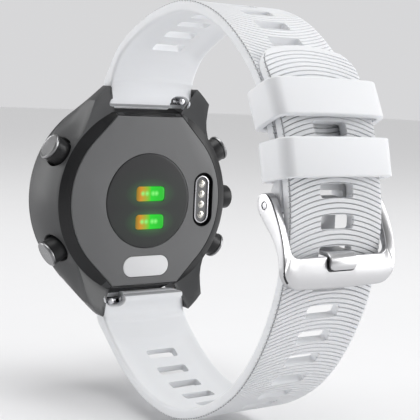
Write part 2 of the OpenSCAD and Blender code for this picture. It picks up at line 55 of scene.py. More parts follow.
BUTTON_DEPTH = 5.0                  # of the buttons' axes
Pair = tuple[float, float]
Colour = tuple[float, float, float]
Mesh = bmesh.types.BMesh
BUCKLE_PIN: Pair = (56.2, 5.7)


# ---- shaping ----

def smooth(value: float, low: float, high: float) -> float:
    """Returns 0 up to low, 1 from high, and an S-curve between."""
    t = min(max((value - low) / (high - low), 0.0), 1.0)
    return t * t * (3 - 2 * t)


def wrapped(across: int, along: int, place: Callable[[int, int], Sequence[float]],
            ring_across: bool = False, ring_along: bool = False) -> Mesh:
    """Lays a grid on a surface.

    Args:
        across: Number of faces in the first direction.
        along: Number of faces in the second direction.
        place: Gives the point of a grid corner from its two numbers.
        ring_across: Whether the first direction closes on itself.
        ring_along: Whether the second direction closes on itself.

    Returns:
        The surface, with its seams closed.
    """
    bm = bmesh.new()
    bmesh.ops.create_grid(bm, x_segments=across, y_segments=along, size=0.5)
    for vert in bm.verts:
        i = round((vert.co.x + 0.5) * across)
        j = round((vert.co.y + 0.5) * along)
        vert.co = place(i % across if ring_across else i, j % along if ring_along else j)
    if ring_across or ring_along:
        edge = [v for v in bm.verts if v.is_boundary]
        bmesh.ops.remove_doubles(bm, verts=edge, dist=WELD)
    return bm


def close_ends(bm: Mesh) -> Mesh:
    """Returns the mesh with its open loops filled and its faces turned outwards."""
    rims = [e for e in bm.edges if e.is_boundary]
    bmesh.ops.holes_fill(bm, edges=rims, sides=0)
    bmesh.ops.recalc_face_normals(bm, faces=bm.faces)
    return bm


def fillet(bm: Mesh, geom: Sequence, offset: float, segments: int = 3, affect: str = "EDGES",
           clamp: bool = False) -> None:
    """Rounds edges, or the corners of an outline where affect is VERTICES."""
    bmesh.ops.bevel(bm, geom=geom, offset=offset, offset_type="OFFSET", segments=segments,
                    profile=0.5, affect=affect, material=-1, clamp_overlap=clamp)


def rims(bm: Mesh, *heights: float) -> list[bmesh.types.BMEdge]:
    """Returns the edges that lie at any of the heights."""
    return [e for e in bm.edges
            if any(all(abs(v.co.z - high) < TOUCH for v in e.verts) for high in heights)]


def post(radius: float, length: float, segments: int) -> Mesh:
    """Returns a capped cylinder along Z, with its middle at the origin."""
    bm = bmesh.new()
    bmesh.ops.create_cone(bm, cap_ends=True, segments=segments, radius1=radius, radius2=radius,
                          depth=length)
    return bm


def spun(outline: Sequence[Pair], steps: int = 72, rounds: dict[int, float] | None = None,
         ring: bool = False) -> Mesh:
    """Turns an outline of (radius, height) about Z.

    Args:
        outline: Corners of the outline, from the axis to the axis, or all round a ring.
        steps: Number of faces round the turn.
        rounds: Radius of the fillet at a corner, by the corner's number.
        ring: Whether the outline closes on itself.

    Returns:
        The turned solid.
    """
    bm = bmesh.new()
    verts = [bm.verts.new((r, 0, z)) for r, z in outline]
    for pair in zip(verts, verts[1:] + (verts[:1] if ring else [])):
        bm.edges.new(pair)
    for number, radius in (rounds or {}).items():
        fillet(bm, [verts[number]], radius, 4, "VERTICES")
    bmesh.ops.spin(bm, geom=bm.verts[:] + bm.edges[:], cent=(0, 0, 0), axis=(0, 0, 1),
                   angle=math.tau, steps=steps, use_merge=True)
    bmesh.ops.remove_doubles(bm, verts=bm.verts, dist=WELD)
    bmesh.ops.recalc_face_normals(bm, faces=bm.faces)
    return bm


def slab(corners: Sequence[Pair], rounds: dict[int, float], low: float, high: float,
         edge: float, both: bool = True) -> Mesh:
    """Makes a plate from an outline in X and Y.

    Args:
        corners: Corners of the outline.
        rounds: Radius of the fillet at a corner, by the corner's number.
        low: Height of the under face.
        high: Height of the upper face.
        edge: Radius of the fillet along the rims.
        both: Whether the under face's rim is rounded too.

    Returns:
        The plate.
    """
    bm = bmesh.new()
    verts = [bm.verts.new((x, y, low)) for x, y in corners]
    bm.faces.new(verts)
    for number, radius in rounds.items():
        fillet(bm, [verts[number]], radius, 6, "VERTICES")
    made = bmesh.ops.extrude_face_region(bm, geom=bm.faces[:], use_keep_orig=True)["geom"]
    raised = [g for g in made if isinstance(g, bmesh.types.BMVert)]
    bmesh.ops.translate(bm, verts=raised, vec=(0, 0, high - low))
    bmesh.ops.recalc_face_normals(bm, faces=bm.faces)
    fillet(bm, rims(bm, high, low) if both else rims(bm, high), edge)
    return bm


def pill(width: float, height: float, low: float, high: float, edge: float = 0.0,
         flare: float = 0.0) -> Mesh:
    """Makes a pill-shaped solid.

    Args:
        width: Size along X.
        height: Size along Y.
        low: Height of the under face.
        high: Height of the upper face.
        edge: Radius of the fillet round the upper rim.
        flare: How much wider the upper end is, as a cutter's lip.

    Returns:
        The solid.
    """
    bm = bmesh.new()
    radius, span = min(width, height) / 2, abs(width - height) / 2
    long = Vector((1, 0, 0)) if width > height else Vector((0, 1, 0))
    bmesh.ops.create_cone(bm, cap_ends=True, segments=48, radius1=radius,
                          radius2=radius + flare, depth=high - low)
    for vert in bm.verts:
        side = vert.co.dot(long)
        vert.co += long * (span if side > TOUCH else -span if side < -TOUCH else 0)
        vert.co.z += (low + high) / 2
    if edge:
        fillet(bm, rims(bm, high), edge)
    return bm


def linked(name: str, data: bpy.types.ID) -> bpy.types.Object:
    """Returns a new object with the data, in the scene."""
    obj = bpy.data.objects.new(name, data)
    bpy.context.scene.collection.objects.link(obj)
    return obj


def as_object(bm: Mesh, name: str) -> bpy.types.Object:
    """Returns a linked object with the mesh, which is used up."""
    mesh = bpy.data.meshes.new(name)
    bm.to_mesh(mesh)
    bm.free()
    return linked(name, mesh)


def carved(body: Mesh, tools: Iterable[Mesh]) -> Mesh:
    """Cuts the tools out of a solid, and returns what is left."""
    target = as_object(body, "blank")
    for name in ("first", "second"):        # without two slots a cut loses the faces' slot numbers
        target.data.materials.append(bpy.data.materials.get(name) or bpy.data.materials.new(name))
    cutters = [as_object(tool, "cutter") for tool in tools]
    for cutter in cutters:
        cut = target.modifiers.new("cut", "BOOLEAN")
        cut.operation, cut.solver, cut.object = "DIFFERENCE", "MANIFOLD", cutter
    view = bpy.context.evaluated_depsgraph_get()
    mesh = bpy.data.meshes.new_from_object(target.evaluated_get(view))
    left = bmesh.new()
    left.from_mesh(mesh)
    for obj in [target, *cutters]:
        old = obj.data
        bpy.data.objects.remove(obj)
        bpy.data.meshes.remove(old)
    bpy.data.meshes.remove(mesh)
    return left


def moved(bm: Mesh, matrix: Matrix) -> Mesh:
    """Returns the mesh after a transform."""
    bmesh.ops.transform(bm, matrix=matrix, verts=bm.verts)
    if matrix.determinant() < 0:
        bmesh.ops.reverse_faces(bm, faces=bm.faces)
    return bm


def joined(parts: Iterable[Mesh]) -> Mesh:
    """Returns one mesh with all the parts in it."""
    whole = bmesh.new()
    for part in parts:
        mesh = bpy.data.meshes.new("part")
        part.to_mesh(mesh)
        part.free()
        whole.from_mesh(mesh)
        bpy.data.meshes.remove(mesh)
    return whole


def from_back(depth: float = 0.0, x: float = 0.0, z: float = 0.0) -> Matrix:
    """Returns the transform that stands a piece's Z on the back, pointing into the case."""
    return Matrix.Translation((x, -depth, z)) @ Matrix.Rotation(math.pi / 2, 4, "X")


def laid(x: float, y: float, z: float) -> Matrix:
    """Returns the transform that lays a piece's Z along X at a point."""
    return Matrix.Translation((x, y, z)) @ Matrix.Rotation(math.pi / 2, 4, "Y")


def outwards(depth: float = 0.0, x: float = 0.0, z: float = 0.0) -> Matrix:
    """Returns the transform that points a piece's Z at the wrist, with its Y at 12 o'clock."""
    return from_back(depth, x, z) @ Matrix.Diagonal((1, 1, -1, 1))


def radial(angle: float, depth: float) -> Matrix:
    """Returns the transform that points a piece's Z out of the case at an angle."""
    a = math.radians(angle)
    return Matrix(((math.sin(a), 0, math.cos(a), 0), (0, 1, 0, -depth),
                   (-math.cos(a), 0, math.sin(a), 0), (0, 0, 0, 1)))


# ---- finishes ----

class Pattern(Enum):
    """What a finish's fine texture looks like."""
    GRAIN = "grain"
    BRUSHED = "brushed"
    TURNED = "turned"


class Nodes:
    """Adds nodes to a tree and joins them."""

    def __init__(self, tree: bpy.types.NodeTree) -> None:
        """Takes the tree to work on."""
        self.tree = tree

    def add(self, kind: str, inputs: dict | None = None, operation: str = "") -> bpy.types.Node:
        """Adds a node.

        Args:
            kind: Its type.
            inputs: For each input socket, the value to set or the socket to link.
            operation: What a maths node works out.

        Returns:
            The node.
        """
        node = self.tree.nodes.new(kind)
        if operation:
            node.operation = operation
        self.feed(node, inputs or {})
        return node

    def feed(self, node: bpy.types.Node, inputs: dict) -> None:
        """Sets or links the inputs of a node."""
        for key, given in inputs.items():
            if isinstance(given, bpy.types.NodeSocket):
                self.tree.links.new(given, node.inputs[key])
            else:
                node.inputs[key].default_value = given


class Effects:
    """Shader node groups that several finishes share."""

    _made: dict[str, bpy.types.NodeTree] = {}

    @classmethod
    def group(cls, pattern: Pattern) -> bpy.types.NodeTree:
        """Returns the group of a pattern, built once."""
        if pattern.value not in cls._made:
            cls._made[pattern.value] = cls._build(pattern)
        return cls._made[pattern.value]

    @staticmethod
    def _build(pattern: Pattern) -> bpy.types.NodeTree:
        """Builds a group that varies a colour and a roughness and gives a height.

        Args:
            pattern: The texture that the group draws.

        Returns:
            The node group.
        """
        tree = bpy.data.node_groups.new(pattern.value, "ShaderNodeTree")
        for way, names in (("INPUT", ("Colour", "Size", "Variation", "Roughness", "Spread")),
                           ("OUTPUT", ("Colour", "Roughness", "Height"))):
            for name in names:
                kind = "NodeSocketColor" if name == "Colour" else "NodeSocketFloat"
                tree.interface.new_socket(name, in_out=way, socket_type=kind)
        nodes = Nodes(tree)
        given = nodes.add("NodeGroupInput").outputs
        coord = nodes.add("ShaderNodeTexCoord").outputs
        scale = {Pattern.GRAIN: (1, 1, 1), Pattern.BRUSHED: (0.06, 1, 1),
                 Pattern.TURNED: (0.4, 60, 1)}[pattern]
        source = coord["UV" if pattern is Pattern.TURNED else "Object"]
        stretch = nodes.add("ShaderNodeMapping", {"Vector": source, "Scale": scale})
        fine = nodes.add("ShaderNodeTexNoise", {"Vector": stretch.outputs["Vector"],
                                                "Scale": given["Size"], "Detail": 3})
        broad = nodes.add("ShaderNodeTexNoise", {"Vector": coord["Object"], "Scale": 160,
                                                 "Detail": 4})
        # both noises together, from -0.5 to 0.5
        total = nodes.add("ShaderNodeMath", {0: fine.outputs["Fac"], 1: broad.outputs["Fac"]},
                          "ADD")
        centred = nodes.add("ShaderNodeMath", {0: total.outputs[0], 1: 0.5, 2: -0.5},
                            "MULTIPLY_ADD").outputs[0]
        shade = nodes.add("ShaderNodeMath", {0: centred, 1: given["Variation"], 2: 1.0},
                          "MULTIPLY_ADD")
        tint = nodes.add("ShaderNodeVectorMath", {0: given["Colour"], "Scale": shade.outputs[0]},
                         "SCALE")
        rough = nodes.add("ShaderNodeMath", {0: centred, 1: given["Spread"],
                                             2: given["Roughness"]}, "MULTIPLY_ADD")
        nodes.add("NodeGroupOutput", {"Colour": tint.outputs[0], "Roughness": rough.outputs[0],
                                      "Height": fine.outputs["Fac"]})
        return tree


@dataclass(frozen=True)
class Finish:
    """A surface: its colour, gloss and fine texture."""
    name: str
    colour: Colour
    roughness: float
    metallic: float = 0.0
    pattern: Pattern = Pattern.GRAIN
    size: float = 3000.0
    variation: float = 0.06
    spread: float = 0.15
    bump: float = 0.15
    depth: float = 0.00002
    coat: float = 0.0
    subsurface: float = 0.0
    sheen: float = 0.0
    specular: float = 0.5

    def material(self) -> bpy.types.Material:
        """Returns the material, built once."""
        known = bpy.data.materials.get(self.name)
        if known:
            return known
        made = bpy.data.materials.new(self.name)
        made.use_nodes = True
        nodes = Nodes(made.node_tree)
        shader = made.node_tree.nodes["Principled BSDF"]
        group = nodes.add("ShaderNodeGroup")
        group.node_tree = Effects.group(self.pattern)
        nodes.feed(group, {"Colour": (*self.colour, 1), "Size": self.size,
                           "Variation": self.variation, "Roughness": self.roughness,
                           "Spread": self.spread})
        bump = nodes.add("ShaderNodeBump", {"Strength": self.bump, "Distance": self.depth,
                                            "Height": group.outputs["Height"]})
        nodes.feed(shader, {
            "Base Color": group.outputs["Colour"], "Roughness": group.outputs["Roughness"],
            "Normal": bump.outputs["Normal"], "Metallic": self.metallic,
            "Coat Weight": self.coat, "Coat Roughness": 0.08,
            "Subsurface Weight": self.subsurface, "Subsurface Radius": (1.0, 0.9, 0.8),
            "Subsurface Scale": 0.0008, "Sheen Weight": self.sheen,
            "Specular IOR Level": self.specular,
        })
        self.extend(nodes, shader)
        return made

    def extend(self, nodes: Nodes, shader: bpy.types.Node) -> None:
        """Adds what a special finish has besides; a plain one has nothing."""


@dataclass(frozen=True)
class GlowFinish(Finish):
    """A finish lit from behind by the lamps of the heart-rate sensor."""
    halo: bool = False
    strength: float = 1.0
    middles: tuple[Pair, ...] = ((-0.5, 1.5), (-0.5, -4.5))

    def extend(self, nodes: Nodes, shader: bpy.types.Node) -> None:
        """Adds the light: across the guides from amber to green, or a green halo round them."""
        coord = nodes.add("ShaderNodeTexCoord").outputs["Object"]
        ramp = nodes.add("ShaderNodeValToRGB")
        light = ramp.outputs["Color"]
        if self.halo:
            stops = ((0.0, (0, 0, 0)), (0.45, (0.0, 0.012, 0.002)), (0.62, (0.01, 0.10, 0.015)),
                     (0.8, (0.04, 0.30, 0.04)))
            along = self._nearness(nodes, coord, self.middles, 0.0062, 0.55)
        else:
            stops = ((0.0, (0.20, 0.12, 0.01)), (0.16, (0.55, 0.20, 0.01)),
                     (0.34, (0.30, 0.34, 0.02)), (0.52, (0.008, 0.55, 0.015)),
                     (1.0, (0.001, 0.38, 0.006)))
            split = nodes.add("ShaderNodeSeparateXYZ", {0: coord})
            along = nodes.add("ShaderNodeMapRange", {
                "Value": split.outputs["X"], "From Min": 0.0030, "From Max": -0.0040,
            }).outputs["Result"]
            lamps = tuple((x + dx, z + 0.1) for x, z in self.middles
                          for dx in (1.9, 0.9, -0.6, -1.4))
            mix = nodes.add("ShaderNodeMix")
            mix.data_type = "RGBA"
            nodes.feed(mix, {"Factor": self._nearness(nodes, coord, lamps, 0.0007, 1.0),
                             "A": light, "B": (0.22, 0.80, 0.18, 1)})
            light = mix.outputs["Result"]
        nodes.feed(ramp, {"Fac": along})
        while len(ramp.color_ramp.elements) < len(stops):
            ramp.color_ramp.elements.new(0.5)
        for element, (place, colour) in zip(ramp.color_ramp.elements, stops):
            element.position = place
            element.color = (*colour, 1)
        nodes.feed(shader, {"Emission Color": light, "Emission Strength": self.strength})

    @staticmethod
    def _nearness(nodes: Nodes, coord: bpy.types.NodeSocket, points: Iterable[Pair],
                  reach: float, squash: float) -> bpy.types.NodeSocket:
        """Makes a value that is 1 at each of some points on the back and falls to 0 round them.

        Args:
            nodes: The tree to add to.
            coord: Place on the surface, in metres.
            points: X and Z of each point, in millimetres.
            reach: Distance at which the value is 0, in metres.
            squash: Share of the distance along X that counts.

        Returns:
            The value's socket.
        """
        best = None
        for x, z in points:
            shift = nodes.add("ShaderNodeMapping", {
                "Vector": coord, "Location": (-x * MM * squash, 0, -z * MM),
                "Scale": (squash, 0, 1),
            })
            far = nodes.add("ShaderNodeVectorMath", {0: shift.outputs["Vector"]}, "LENGTH")
            near = nodes.add("ShaderNodeMapRange", {
                "From Min": reach, "From Max": 0.0, "Value": far.outputs["Value"],
            }).outputs["Result"]
            if best is not None:
                near = nodes.add("ShaderNodeMath", {0: best, 1: near}, "MAXIMUM").outputs[0]
            best = near
        return best


SILICONE = Finish("white silicone", (0.80, 0.81, 0.83), 0.50, size=2500, variation=0.03,
                  spread=0.12, bump=0.25, subsurface=0.12, sheen=0.15)
# grey painted as the shade in the strap's grooves and in the crease at its root
GROOVE_SHADE = Finish("groove shade silicone", (0.34, 0.345, 0.355), 0.65, size=2500, variation=0.04,
                bump=0.2)
SHELL = Finish("case polymer", (0.062, 0.063, 0.065), 0.42, size=9000, variation=0.10,
               spread=0.10, bump=0.35, specular=0.42)
# the case polymer darkened: painted shade for the sloped step round the back cover
STEP_SHADE = Finish("step shade polymer", (0.018, 0.018, 0.019), 0.34, size=9000, variation=0.06,
              spread=0.08, bump=0.15, specular=0.3)
COVER = Finish("back cover polymer", (0.135, 0.136, 0.138), 0.48, size=9000, variation=0.08,
               spread=0.10, bump=0.30)
RIM = Finish("bezel polymer", (0.030, 0.031, 0.033), 0.38, size=7000, bump=0.25)
WINDOW = GlowFinish("sensor window", (0.030, 0.030, 0.031), 0.36, size=4000, variation=0.05,
                    bump=0.05, specular=0.35, halo=True, strength=0.4)
GUIDE = GlowFinish("light guide", (0.02, 0.06, 0.02), 0.30, bump=0.05, specular=0.2,
                   strength=1.15)
TURNED = Finish("turned steel", (0.25, 0.25, 0.255), 0.30, metallic=1.0, pattern=Pattern.TURNED,
                size=6, variation=0.30, spread=0.25, bump=0.30, depth=0.00003)
# steel darkened as painted shade in the buckle bar's recess and as a painted dark reflection on the
# frame's outer bevels
PAINTED_SHADE_STEEL = Finish("painted shade steel", (0.05, 0.05, 0.053), 0.45, metallic=1.0, size=4000, bump=0.1)
POLISHED = Finish("polished steel", (0.57, 0.57, 0.58), 0.30, metallic=1.0,
                  pattern=Pattern.BRUSHED, size=4000, variation=0.05, spread=0.10, bump=0.05)
SMALL_STEEL = Finish("small steel", (0.60, 0.60, 0.62), 0.25, metallic=1.0,
                     pattern=Pattern.BRUSHED, size=6000, variation=0.12, bump=0.10)
BLACK = Finish("black resin", (0.004, 0.004, 0.005), 0.6, size=6000, bump=0.2, specular=0.15)
BARREL = Finish("button barrel", (0.014, 0.014, 0.015), 0.36, size=6000, bump=0.15,
                specular=0.3)
CONTACT = Finish("plated contact", (0.78, 0.76, 0.70), 0.18, metallic=1.0,
                 pattern=Pattern.BRUSHED, size=7000, bump=0.08)
PORT_FLOOR = Finish("port floor", (0.16, 0.16, 0.165), 0.55, size=8000, bump=0.2)
LABEL = Finish("blank label", (0.78, 0.78, 0.79), 0.55, size=7000, variation=0.05, bump=0.15)
RUBBER = Finish("seal rubber", (0.012, 0.012, 0.013), 0.65, size=5000, bump=0.3)
BOARD = Finish("board lacquer", (0.010, 0.075, 0.030), 0.35, size=2600, variation=0.5, bump=0.3,
               coat=0.3)
FOIL = Finish("battery foil", (0.52, 0.53, 0.56), 0.35, metallic=0.8, size=1500, bump=0.4)
GLASS = Finish("display glass", (0.006, 0.006, 0.008), 0.06, size=1200, variation=0.1,
               spread=0.02, bump=0.0, coat=0.6)
PANEL = Finish("display panel", (0.020, 0.024, 0.026), 0.30, size=9000, bump=0.1)
FRAME = Finish("inner polymer", (0.030, 0.030, 0.032), 0.55, size=4000, bump=0.25)
COPPER = Finish("antenna copper", (0.62, 0.36, 0.20), 0.30, metallic=1.0,
                pattern=Pattern.BRUSHED, size=4000, variation=0.15)
ROTOR = Finish("rotor metal", (0.30, 0.30, 0.32), 0.35, metallic=1.0, size=4000, bump=0.2)
BRASS = Finish("sounder brass", (0.60, 0.47, 0.20), 0.30, metallic=1.0,
               pattern=Pattern.BRUSHED, size=4000, variation=0.15)
SWITCH = Finish("switch polymer", (0.45, 0.45, 0.43), 0.5, size=4000, bump=0.2)


def placed(bm: Mesh, name: str, finish: Finish, body: str, nodes: Sequence[str] = (),
           angle: float = 32.0) -> bpy.types.Object:
    """Turns a mesh into a finished piece.

    Args:
        bm: The mesh in millimetres, which is used up.
        name: Name of the piece.
        finish: Its surface.
        body: The body it moves with.
        nodes: CAD nodes it stands for.
        angle: Angle in degrees past which an edge is sharp.

    Returns:
        The piece.
    """
    bmesh.ops.scale(bm, vec=(MM, MM, MM), verts=bm.verts)
    loose = [v for v in bm.verts if not v.link_faces]
    bmesh.ops.delete(bm, geom=loose, context="VERTS")
    obj = as_object(bm, name)
    obj.data.shade_smooth()
    obj.data.set_sharp_from_angle(angle=math.radians(angle))
    obj.data.materials.append(finish.material())
    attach(obj, body)
    if nodes:
        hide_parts(*nodes)
    LOG.info("%s: %d faces", name, len(obj.data.polygons))
    return obj


# ---- case ----

@dataclass
class CaseShell:
    """The moulded case: back step, flared wall, lugs and strap wells."""
    flare: float = 1.6
    cover_r: float = 18.1
    flat_half: float = 7.95
    flat_z: float = 17.9
    step_r: float = 20.4
    step_drop: float = 1.35
    depth: float = 11.4
    well_z: float = 18.5
    lug_x: float = 10.3
    room_r: float = 18.4
    lens_r: float = 18.6
    pocket_r: float = 3.15
    pocket_floor: float = 19.65
    button_angles: tuple[float, ...] = (28, -28, 152, 180, 208)
    seat_depth: float = 0.2
    back_rows: int = 6
    well_rows: int = 4
    wall_depths: tuple[float, ...] = (2.1, 3.2, 4.2, 5.2, 5.2, 6.4, 7.6, 8.8, 10.0, 11.0, 11.4)
    lug_side: tuple[Pair, ...] = ((11.4, 23.25), (12.6, 22.1), (13.9, 20.8), (14.15, 18.9),
                                  (14.4, 17.0), (14.85, 15.2), (15.5, 13.3))
    lug_turns: tuple[float, ...] = (57.5, 53.0, 48.5, 45.0, 42.0, 38.5, 34.0)
    lug_reach: tuple[float, ...] = (22.7, 22.8, 22.9, 23.0, 23.0, 23.0, 22.9)

    def cover_edge(self, angle: float, grow: float) -> Pair:
        """Returns the cover's outline, a circle with flats and tangents, at an angle."""
        corner_r = math.hypot(self.flat_half, self.flat_z)
        corner_a = math.atan2(self.flat_z, self.flat_half)
        touch = corner_a - math.acos(self.cover_r / corner_r)
        a = math.atan2(abs(math.sin(angle)), abs(math.cos(angle)))
        if a > corner_a:
            r = self.flat_z / math.sin(a)
        elif a > touch:
            r = self.cover_r / math.cos(a - touch)
        else:
            r = self.cover_r
        r += grow
        return r * math.cos(angle), r * math.sin(angle)

    def wall_r(self, depth: float) -> float:
        """Returns the wall's radius at a depth."""
        t = min(max((depth - self.step_drop) / (self.depth - self.step_drop), 0), 1)
        return self.step_r + self.flare * t + 0.45 * math.sin(math.pi * t)

    def outline(self, depth: float, lug: float, well: bool) -> list[Pair]:
        """Draws one quarter of the case at a depth, from 12 to 3 o'clock.

        Args:
            depth: Depth below the back cover's face.
            lug: 0 at the lug's back face and 1 at its deep end.
            well: Whether the strap's well cuts this level.

        Returns:
            Forty points.
        """
        r = self.wall_r(depth)
        near = self.well_z if well else math.sqrt(r * r - self.lug_x ** 2)
        if well:
            end = [(self.lug_x * i / 8, self.well_z) for i in range(8)]
        else:
            stop = math.asin(self.lug_x / r)
            end = [(r * math.sin(stop * i / 8), r * math.cos(stop * i / 8)) for i in range(8)]
        fold = min(max((depth - 2.1) / 7.4, 0.0), 1.0)
        tip = BAR_Z + 2.7 - 3.4 * fold
        side = [(self.lug_x, near + max(tip - 0.3 - near, 0.02) * i / 4) for i in range(5)]
        flank = [(10.6, tip)]
        for (x, z), turn, far in zip(self.lug_side, self.lug_turns, self.lug_reach):
            share = fold if z > 18 else lug
            a = math.radians(turn)
            flank.append((x + (far * math.cos(a) - x) * share, z + (far * math.sin(a) - z) * share))
        start = math.atan2(flank[-1][1], flank[-1][0])
        start_r = math.hypot(*flank[-1])
        arc = []
        for i in range(1, 19):
            a = start * (1 - i / 18)
            q = start_r + (r - start_r) * smooth(i / 18, 0, 0.35)
            arc.append((q * math.cos(a), q * math.sin(a)))
        return end + side + flank + arc

    def level(self, row: int) -> tuple[list[Pair], list[float]]:
        """Returns one quarter's outline and depths on a row that runs round the wall's section."""
        shape = self.outline(self.step_drop, 0, True)
        if row == 0:        # inner edge of the cover's seat
            return self._cover(shape, 0.04), [0.28] * len(shape)
        if row == 1:
            return self._cover(shape, 0.16), [self.seat_depth] * len(shape)
        if row == 2:        # outer edge of the sloped step
            flat, deep = [], []
            for x, z in shape:
                r = math.hypot(x, z)
                q = min(self.step_r, r)
                if x <= self.lug_x + TOUCH and z > self.well_z - TOUCH:
                    q = self.well_z / (z / r) if r > 0 else r
                    q = min(q, self.step_r)
                flat.append((x / r * q, z / r * q))
                deep.append(self._back_depth(q))
            return flat, deep
        if row < self.back_rows:        # back faces of the lugs, rising from the step to their ends
            step, _ = self.level(2)
            share = (row - 2) / 3
            flat = [(a[0] + (b[0] - a[0]) * share, a[1] + (b[1] - a[1]) * share)
                    for a, b in zip(step, shape)]
            return flat, [self._back_depth(math.hypot(x, z)) for x, z in flat]
        row -= self.back_rows
        if row < len(self.wall_depths):
            d = self.wall_depths[row]
            shape = self.outline(d, smooth(d, 0.5, 10.5), row < self.well_rows)
            if d > 8.5:
                shape = [self._pull(p, self.wall_r(d), smooth(d, 8.5, 11.2)) for p in shape]
            return shape, [d] * len(shape)
        row -= len(self.wall_depths)
        if row < len(self.closing):
            r, d = self.closing[row]
            return [self._circle(p, r) for p in shape], [d] * len(shape)
        return self._cover(shape, -1.2), [self.step_drop] * len(shape)

    @property
    def closing(self) -> tuple[Pair, ...]:
        """The circles, as (radius, depth), that lead from the front edge round the inside."""
        return ((self.lens_r, self.depth), (self.lens_r, 9.0), (self.room_r, 8.9),
                (self.room_r, 2.4))

    @property
    def rows(self) -> int:
        """Number of rows round the wall's section."""
        return self.back_rows + len(self.wall_depths) + len(self.closing) + 1

    def _back_depth(self, r: float) -> float:
        """Returns the depth of the sloped step, or of a lug's back face beyond it, at a radius."""
        if r < self.step_r:
            rise = (r - self.cover_r) / (self.step_r - self.cover_r)
            return self.seat_depth + max(rise, 0) * (self.step_drop - self.seat_depth)
        return self.step_drop - 2.25 * min((r - self.step_r) / 4.7, 1.05) ** 1.25

    @staticmethod
    def _pull(point: Pair, radius: float, share: float) -> Pair:
        """Returns a point drawn in towards a circle."""
        r = math.hypot(*point)
        q = r + (radius - r) * share
        return point[0] / r * q, point[1] / r * q

    @staticmethod
    def _circle(point: Pair, radius: float) -> Pair:
        """Returns a point's place on a circle, at its own angle."""
        r = math.hypot(*point)
        return point[0] / r * radius, point[1] / r * radius

    def _cover(self, shape: list[Pair], grow: float) -> list[Pair]:
        """Returns an outline's points drawn in to the cover's edge."""
        return [self.cover_edge(math.atan2(z, x), grow) for x, z in shape]

    def blank(self) -> Mesh:
        """Returns the case before its holes are cut."""
        rows = [self.level(r) for r in range(self.rows)]
        quarter = len(rows[0][0])
        count = 4 * (quarter - 1)

        def place(i: int, j: int) -> Vector:
            """Returns the place of a corner of the grid."""
            shape, deep = rows[j]
            part, k = divmod(i, quarter - 1)
            flip = part % 2 == 1
            n = quarter - 1 - k if flip else k
            x, z = shape[n]
            sx = 1 if part in (0, 1) else -1
            sz = 1 if part in (0, 3) else -1
            return Vector((sx * x, -deep[n], sz * z))

        bm = wrapped(count, self.rows, place, ring_across=True, ring_along=True)
        bmesh.ops.remove_doubles(bm, verts=bm.verts, dist=1e-3)
        bmesh.ops.dissolve_degenerate(bm, dist=1e-4, edges=bm.edges)
        bmesh.ops.recalc_face_normals(bm, faces=bm.faces)
        return bm

    def cutters(self) -> list[Mesh]:
        """Returns the cutters for the button pockets and the spring bars' holes."""
        tools = []
        r, floor = self.pocket_r, self.pocket_floor
        for angle in self.button_angles:
            top = self.wall_r(BUTTON_DEPTH)
            lip = [(0, floor), (r, floor), (r, top - 0.5), (r + 0.25, top + 0.15),
                   (r + 0.9, top + 0.8), (r + 0.9, top + 8), (0, top + 8)]
            bore = [(0, self.room_r - 3), (1.06, self.room_r - 3), (1.06, floor + 1),
                    (0, floor + 1)]
            for tool in (spun(lip, 64, {1: 0.3}), spun(bore, 32)):
                tools.append(moved(tool, radial(angle, BUTTON_DEPTH)))
        for sx in (-1, 1):
            for sz in (-1, 1):
                spot = laid(sx * (self.lug_x + 0.1), -BAR_DEPTH, sz * BAR_Z)
                tools.append(moved(post(0.46, 3.0, 32), spot))
        return tools

    def build(self) -> None:
        """Builds the case."""
        blank = self.blank()
        # faces of the sloped step that face the wrist take the second slot, a painted shade
        for face in blank.faces:
            middle = face.calc_center_median()
            r = math.hypot(middle.x, middle.z)
            on_step_shade = self.cover_r < r < self.step_r and middle.y > -self.step_drop
            face.material_index = 1 if on_step_shade and face.normal.y > 0.5 else 0
        sharp = [e for e in blank.edges
                 if e.is_manifold and e.calc_face_angle(0) > math.radians(34)]
        fillet(blank, sharp, 0.14, 2, clamp=True)
        bmesh.ops.recalc_face_normals(blank, faces=blank.faces)
        shell = placed(carved(blank, self.cutters()), "case_shell", SHELL, "watch",
                       ["case"], angle=28)
        # second slot: the step's painted shade
        shell.data.materials.append(STEP_SHADE.material())


@dataclass
class FrontFace:
    """Bezel, display cover and minute marks."""
    depth: float = 11.42
    radius: float = 22.0
    lens_r: float = 18.6
    height: float = 1.8
    marks: int = 60

    def build(self) -> None:
        """Builds the front."""
        high = self.height
        ring = spun([(self.lens_r, 0), (self.radius, 0), (self.radius + 0.05, 0.5),
                     (self.radius - 0.3, high - 0.5), (self.radius - 1.1, high),
                     (self.lens_r + 0.5, high - 0.25), (self.lens_r, high - 0.55)], 144,
                    {2: 0.2, 3: 0.25, 4: 0.3, 5: 0.2, 6: 0.1}, ring=True)
        placed(moved(ring, from_back(self.depth)), "bezel_ring", RIM, "watch",
               ["bezel"])
        lens = spun([(0, 0), (self.lens_r - 0.02, 0), (self.lens_r - 0.02, 1.05), (0, 1.12)],
                    144, {2: 0.2})
        placed(moved(lens, from_back(self.depth)), "display_cover", GLASS, "watch",
               ["display_lens"])
        ticks = []
        for number in range(self.marks):
            long = 1.3 if number % 5 == 0 else 0.7
            mark = slab([(-0.12, 0), (0.12, 0), (0.12, long), (-0.12, long)], {}, 0, 0.03, 0.01,
                        both=False)
            turn = Matrix.Rotation(math.tau * number / self.marks, 4, "Z")
            out = Matrix.Translation((0, self.lens_r + 0.95, high - 0.13))
            tilt = Matrix.Rotation(math.radians(7), 4, "X")
            ticks.append(moved(mark, from_back(self.depth) @ turn @ out @ tilt))
        placed(joined(ticks), "minute_marks", LABEL, "watch")


# ---- back ----

